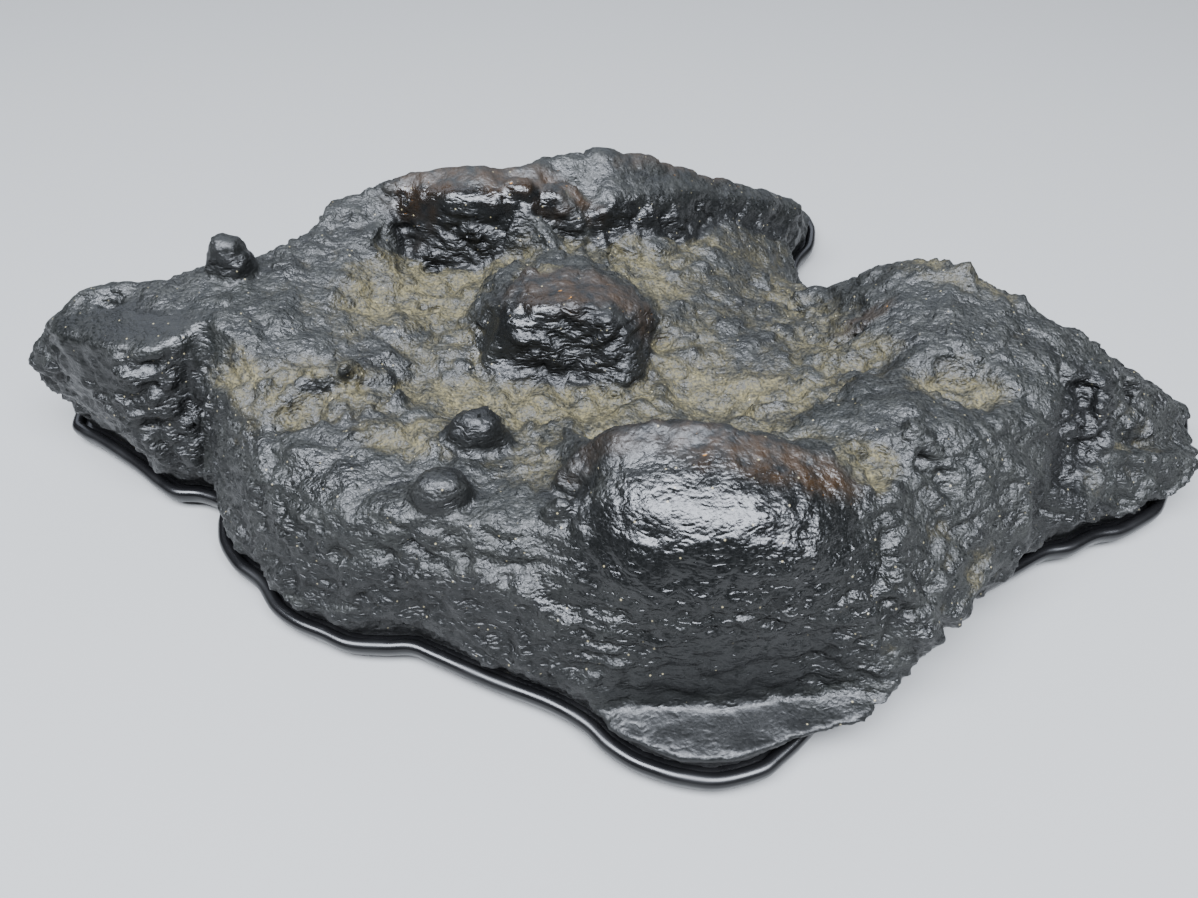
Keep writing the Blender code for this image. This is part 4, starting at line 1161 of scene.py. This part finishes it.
@dataclass
class Stand(Piece):
    """The stand, carved in one piece: a thin plate with a rounded rim round the stone, on low feet."""

    name: str = "stand_carved"
    node: str = "stand"
    finish: Finish = BlackLacquer()
    around: int = 900
    plate_underside: float = 3.0
    plate_rounding: tuple[Pair, ...] = ((1.4, 0.0), (0.6, 0.5), (0.2, 1.4))
    recess_floor: float = 5.5
    rim_top: float = 8.4
    rim_width: float = 4.4
    rim_arc_drop: float = 0.8
    rim_arc_degrees: float = 150.0
    rim_arc_points: int = 14
    sharp_degrees: float = 40.0
    foot_height: float = 3.4
    foot_size: Pair = (26.0, 12.0)
    foot_taper: float = 0.84
    foot_sides: int = 40
    feet: tuple[tuple[str, float, float, float], ...] = (
        ("foot_left", -186, -4, 90), ("foot_front_left", -116, -72, -50), ("foot_front", 16, -130, 0),
        ("foot_front_right", 128, -58, 22), ("foot_right", 190, -6, 90), ("foot_back_right", 72, 122, 80),
        ("foot_back", -40, 104, 18), ("foot_back_left", -146, 48, 38),
    )

    def section(self) -> list[Pair]:
        """The section from under the plate's edge over the rounded rim, an arc, to the recess.

        Returns:
            Pairs of how far in from the outline, and how high.
        """
        middle = (self.recess_floor + self.rim_top) / 2 - self.rim_arc_drop
        half, rise = self.rim_width / 2, self.rim_top - middle
        angles = np.radians(np.linspace(0, self.rim_arc_degrees, self.rim_arc_points))
        arc = [(half * (1 - math.cos(a)), middle + rise * math.sin(a)) for a in angles]
        under = [(inset, self.plate_underside + height) for inset, height in self.plate_rounding]
        return [*under, *arc, (self.rim_width, self.recess_floor)]

    def build(self) -> bpy.types.Object:
        """Makes the stand: the section carried round the outline, closed by the plate, and the feet.

        Returns:
            The object.
        """
        outline = closed_curve(RIM_OUTLINE, self.around)
        rows = [
            np.column_stack([offset(outline, -inset), np.full(self.around, height)])
            for inset, height in self.section()
        ]
        faces = grid_faces(len(rows), self.around)
        faces.append(list(range(self.around))[::-1])
        faces.append([(len(rows) - 1) * self.around + k for k in range(self.around)])
        stand = new_object(self.name, np.vstack(rows), faces)
        helpers = [self.foot(stand, *foot) for foot in self.feet]
        apply_modifiers(stand)
        for helper in helpers:
            bpy.data.objects.remove(helper)
        stand.data.shade_smooth()
        stand.data.set_sharp_from_angle(angle=math.radians(self.sharp_degrees))
        return stand

    def foot(self, stand: bpy.types.Object, name: str, x: float, y: float, turn: float) -> bpy.types.Object:
        """Joins a low oval foot, which narrows to the floor, to the stand by a Boolean.

        Args:
            stand: The stand.
            name: The foot's name.
            x: Where it is along X.
            y: Where it is along Y.
            turn: The angle of its length from X, in degrees.

        Returns:
            The foot's own object, to remove once the Boolean is applied.
        """
        shape, mesh = bmesh.new(), bpy.data.meshes.new(name)
        sizes = {"radius1": 0.5 * self.foot_taper, "radius2": 0.5, "depth": 1.0}
        bmesh.ops.create_cone(shape, cap_ends=True, segments=self.foot_sides, **sizes)
        shape.to_mesh(mesh)
        shape.free()
        foot = in_scene(name, mesh)
        foot.location = (x * MM, y * MM, self.foot_height / 2 * MM)
        foot.rotation_euler.z = math.radians(turn)
        foot.scale = (self.foot_size[0] * MM, self.foot_size[1] * MM, self.foot_height * MM)
        union = stand.modifiers.new(name, "BOOLEAN")
        union.operation = "UNION"
        union.object = foot
        return foot


@dataclass(frozen=True)
class Softbox:
    """A flat soft light: where it is and what it looks at in metres, its width and its height, its power and
    its colour."""

    name: str
    place: Triple
    target: Triple
    size: Pair
    watts: float
    colour: str

    def build(self) -> None:
        """Hangs the light in the scene."""
        lamp = bpy.data.lights.new(self.name, "AREA")
        lamp.shape = "RECTANGLE"
        lamp.size, lamp.size_y = self.size
        lamp.energy = self.watts
        lamp.color = linear(self.colour)[:3]
        thing = in_scene(self.name, lamp)
        thing.location = self.place
        look = Vector(self.target) - Vector(self.place)
        thing.rotation_euler = look.to_track_quat("-Z", "Y").to_euler()


@dataclass
class Studio:
    """A plain pale floor, soft light from above and behind, and a camera that looks down on the stone."""

    floor_side: float = 6.0
    floor_finish: Finish = Finish("pale_paper", (("Base Color", "888886"),), 0.7)
    room_colour: str = "d9dce0"
    room_strength: float = 0.10
    camera_place: Triple = (-0.012, -0.2468, 0.2400)
    camera_tilt: float = 44.0
    camera_nearest: float = 0.01
    picture_width: int = 1198
    focal_pixels: float = 900.0
    sensor_width: float = 36.0
    softboxes: tuple[Softbox, ...] = (
        Softbox("overhead", (-0.05, -0.44, 1.15), (0, -0.05, 0.05), (1.9, 0.62), 124.0, "edf3ff"),
        Softbox("behind", (-0.1, 1.5, 1.3), (0, 0, 0.05), (3.4, 1.1), 24.0, "e6eeff"),
    )

    def build(self) -> None:
        """Lays the floor, lights it, and sets up the camera."""
        half = self.floor_side / 2 / MM
        corners = np.array([(-half, -half, 0), (half, -half, 0), (half, half, 0), (-half, half, 0)], float)
        floor = new_object("pale_floor", corners, [[0, 1, 2, 3]])
        floor.data.materials.append(self.floor_finish.material())
        world = bpy.data.worlds.new("pale_room")
        world.use_nodes = True
        background = world.node_tree.nodes["Background"]
        background.inputs["Color"].default_value = linear(self.room_colour)
        background.inputs["Strength"].default_value = self.room_strength
        bpy.context.scene.world = world
        for softbox in self.softboxes:
            softbox.build()
        lens = bpy.data.cameras.new("camera")
        lens.sensor_width = self.sensor_width
        lens.lens = self.focal_pixels / self.picture_width * self.sensor_width
        lens.clip_start = self.camera_nearest
        camera = in_scene("camera", lens)
        camera.location = self.camera_place
        camera.rotation_euler.x = math.radians(self.camera_tilt)
        bpy.context.scene.camera = camera


def main() -> None:
    """Builds and dresses the stone and its stand, then the studio, and reports each piece."""
    logging.basicConfig(level=logging.INFO, format="%(name)s: %(message)s")
    for part in (Stone(), Stand()):
        piece = part.build()
        part.dress(piece)
        low, high = np.array(piece.bound_box).min(axis=0), np.array(piece.bound_box).max(axis=0)
        size = " x ".join(f"{side / MM:.1f}" for side in high - low)
        log.info("%s: %d faces, %s mm", piece.name, len(piece.data.polygons), size)
    Studio().build()


if __name__ == "__main__":
    main()
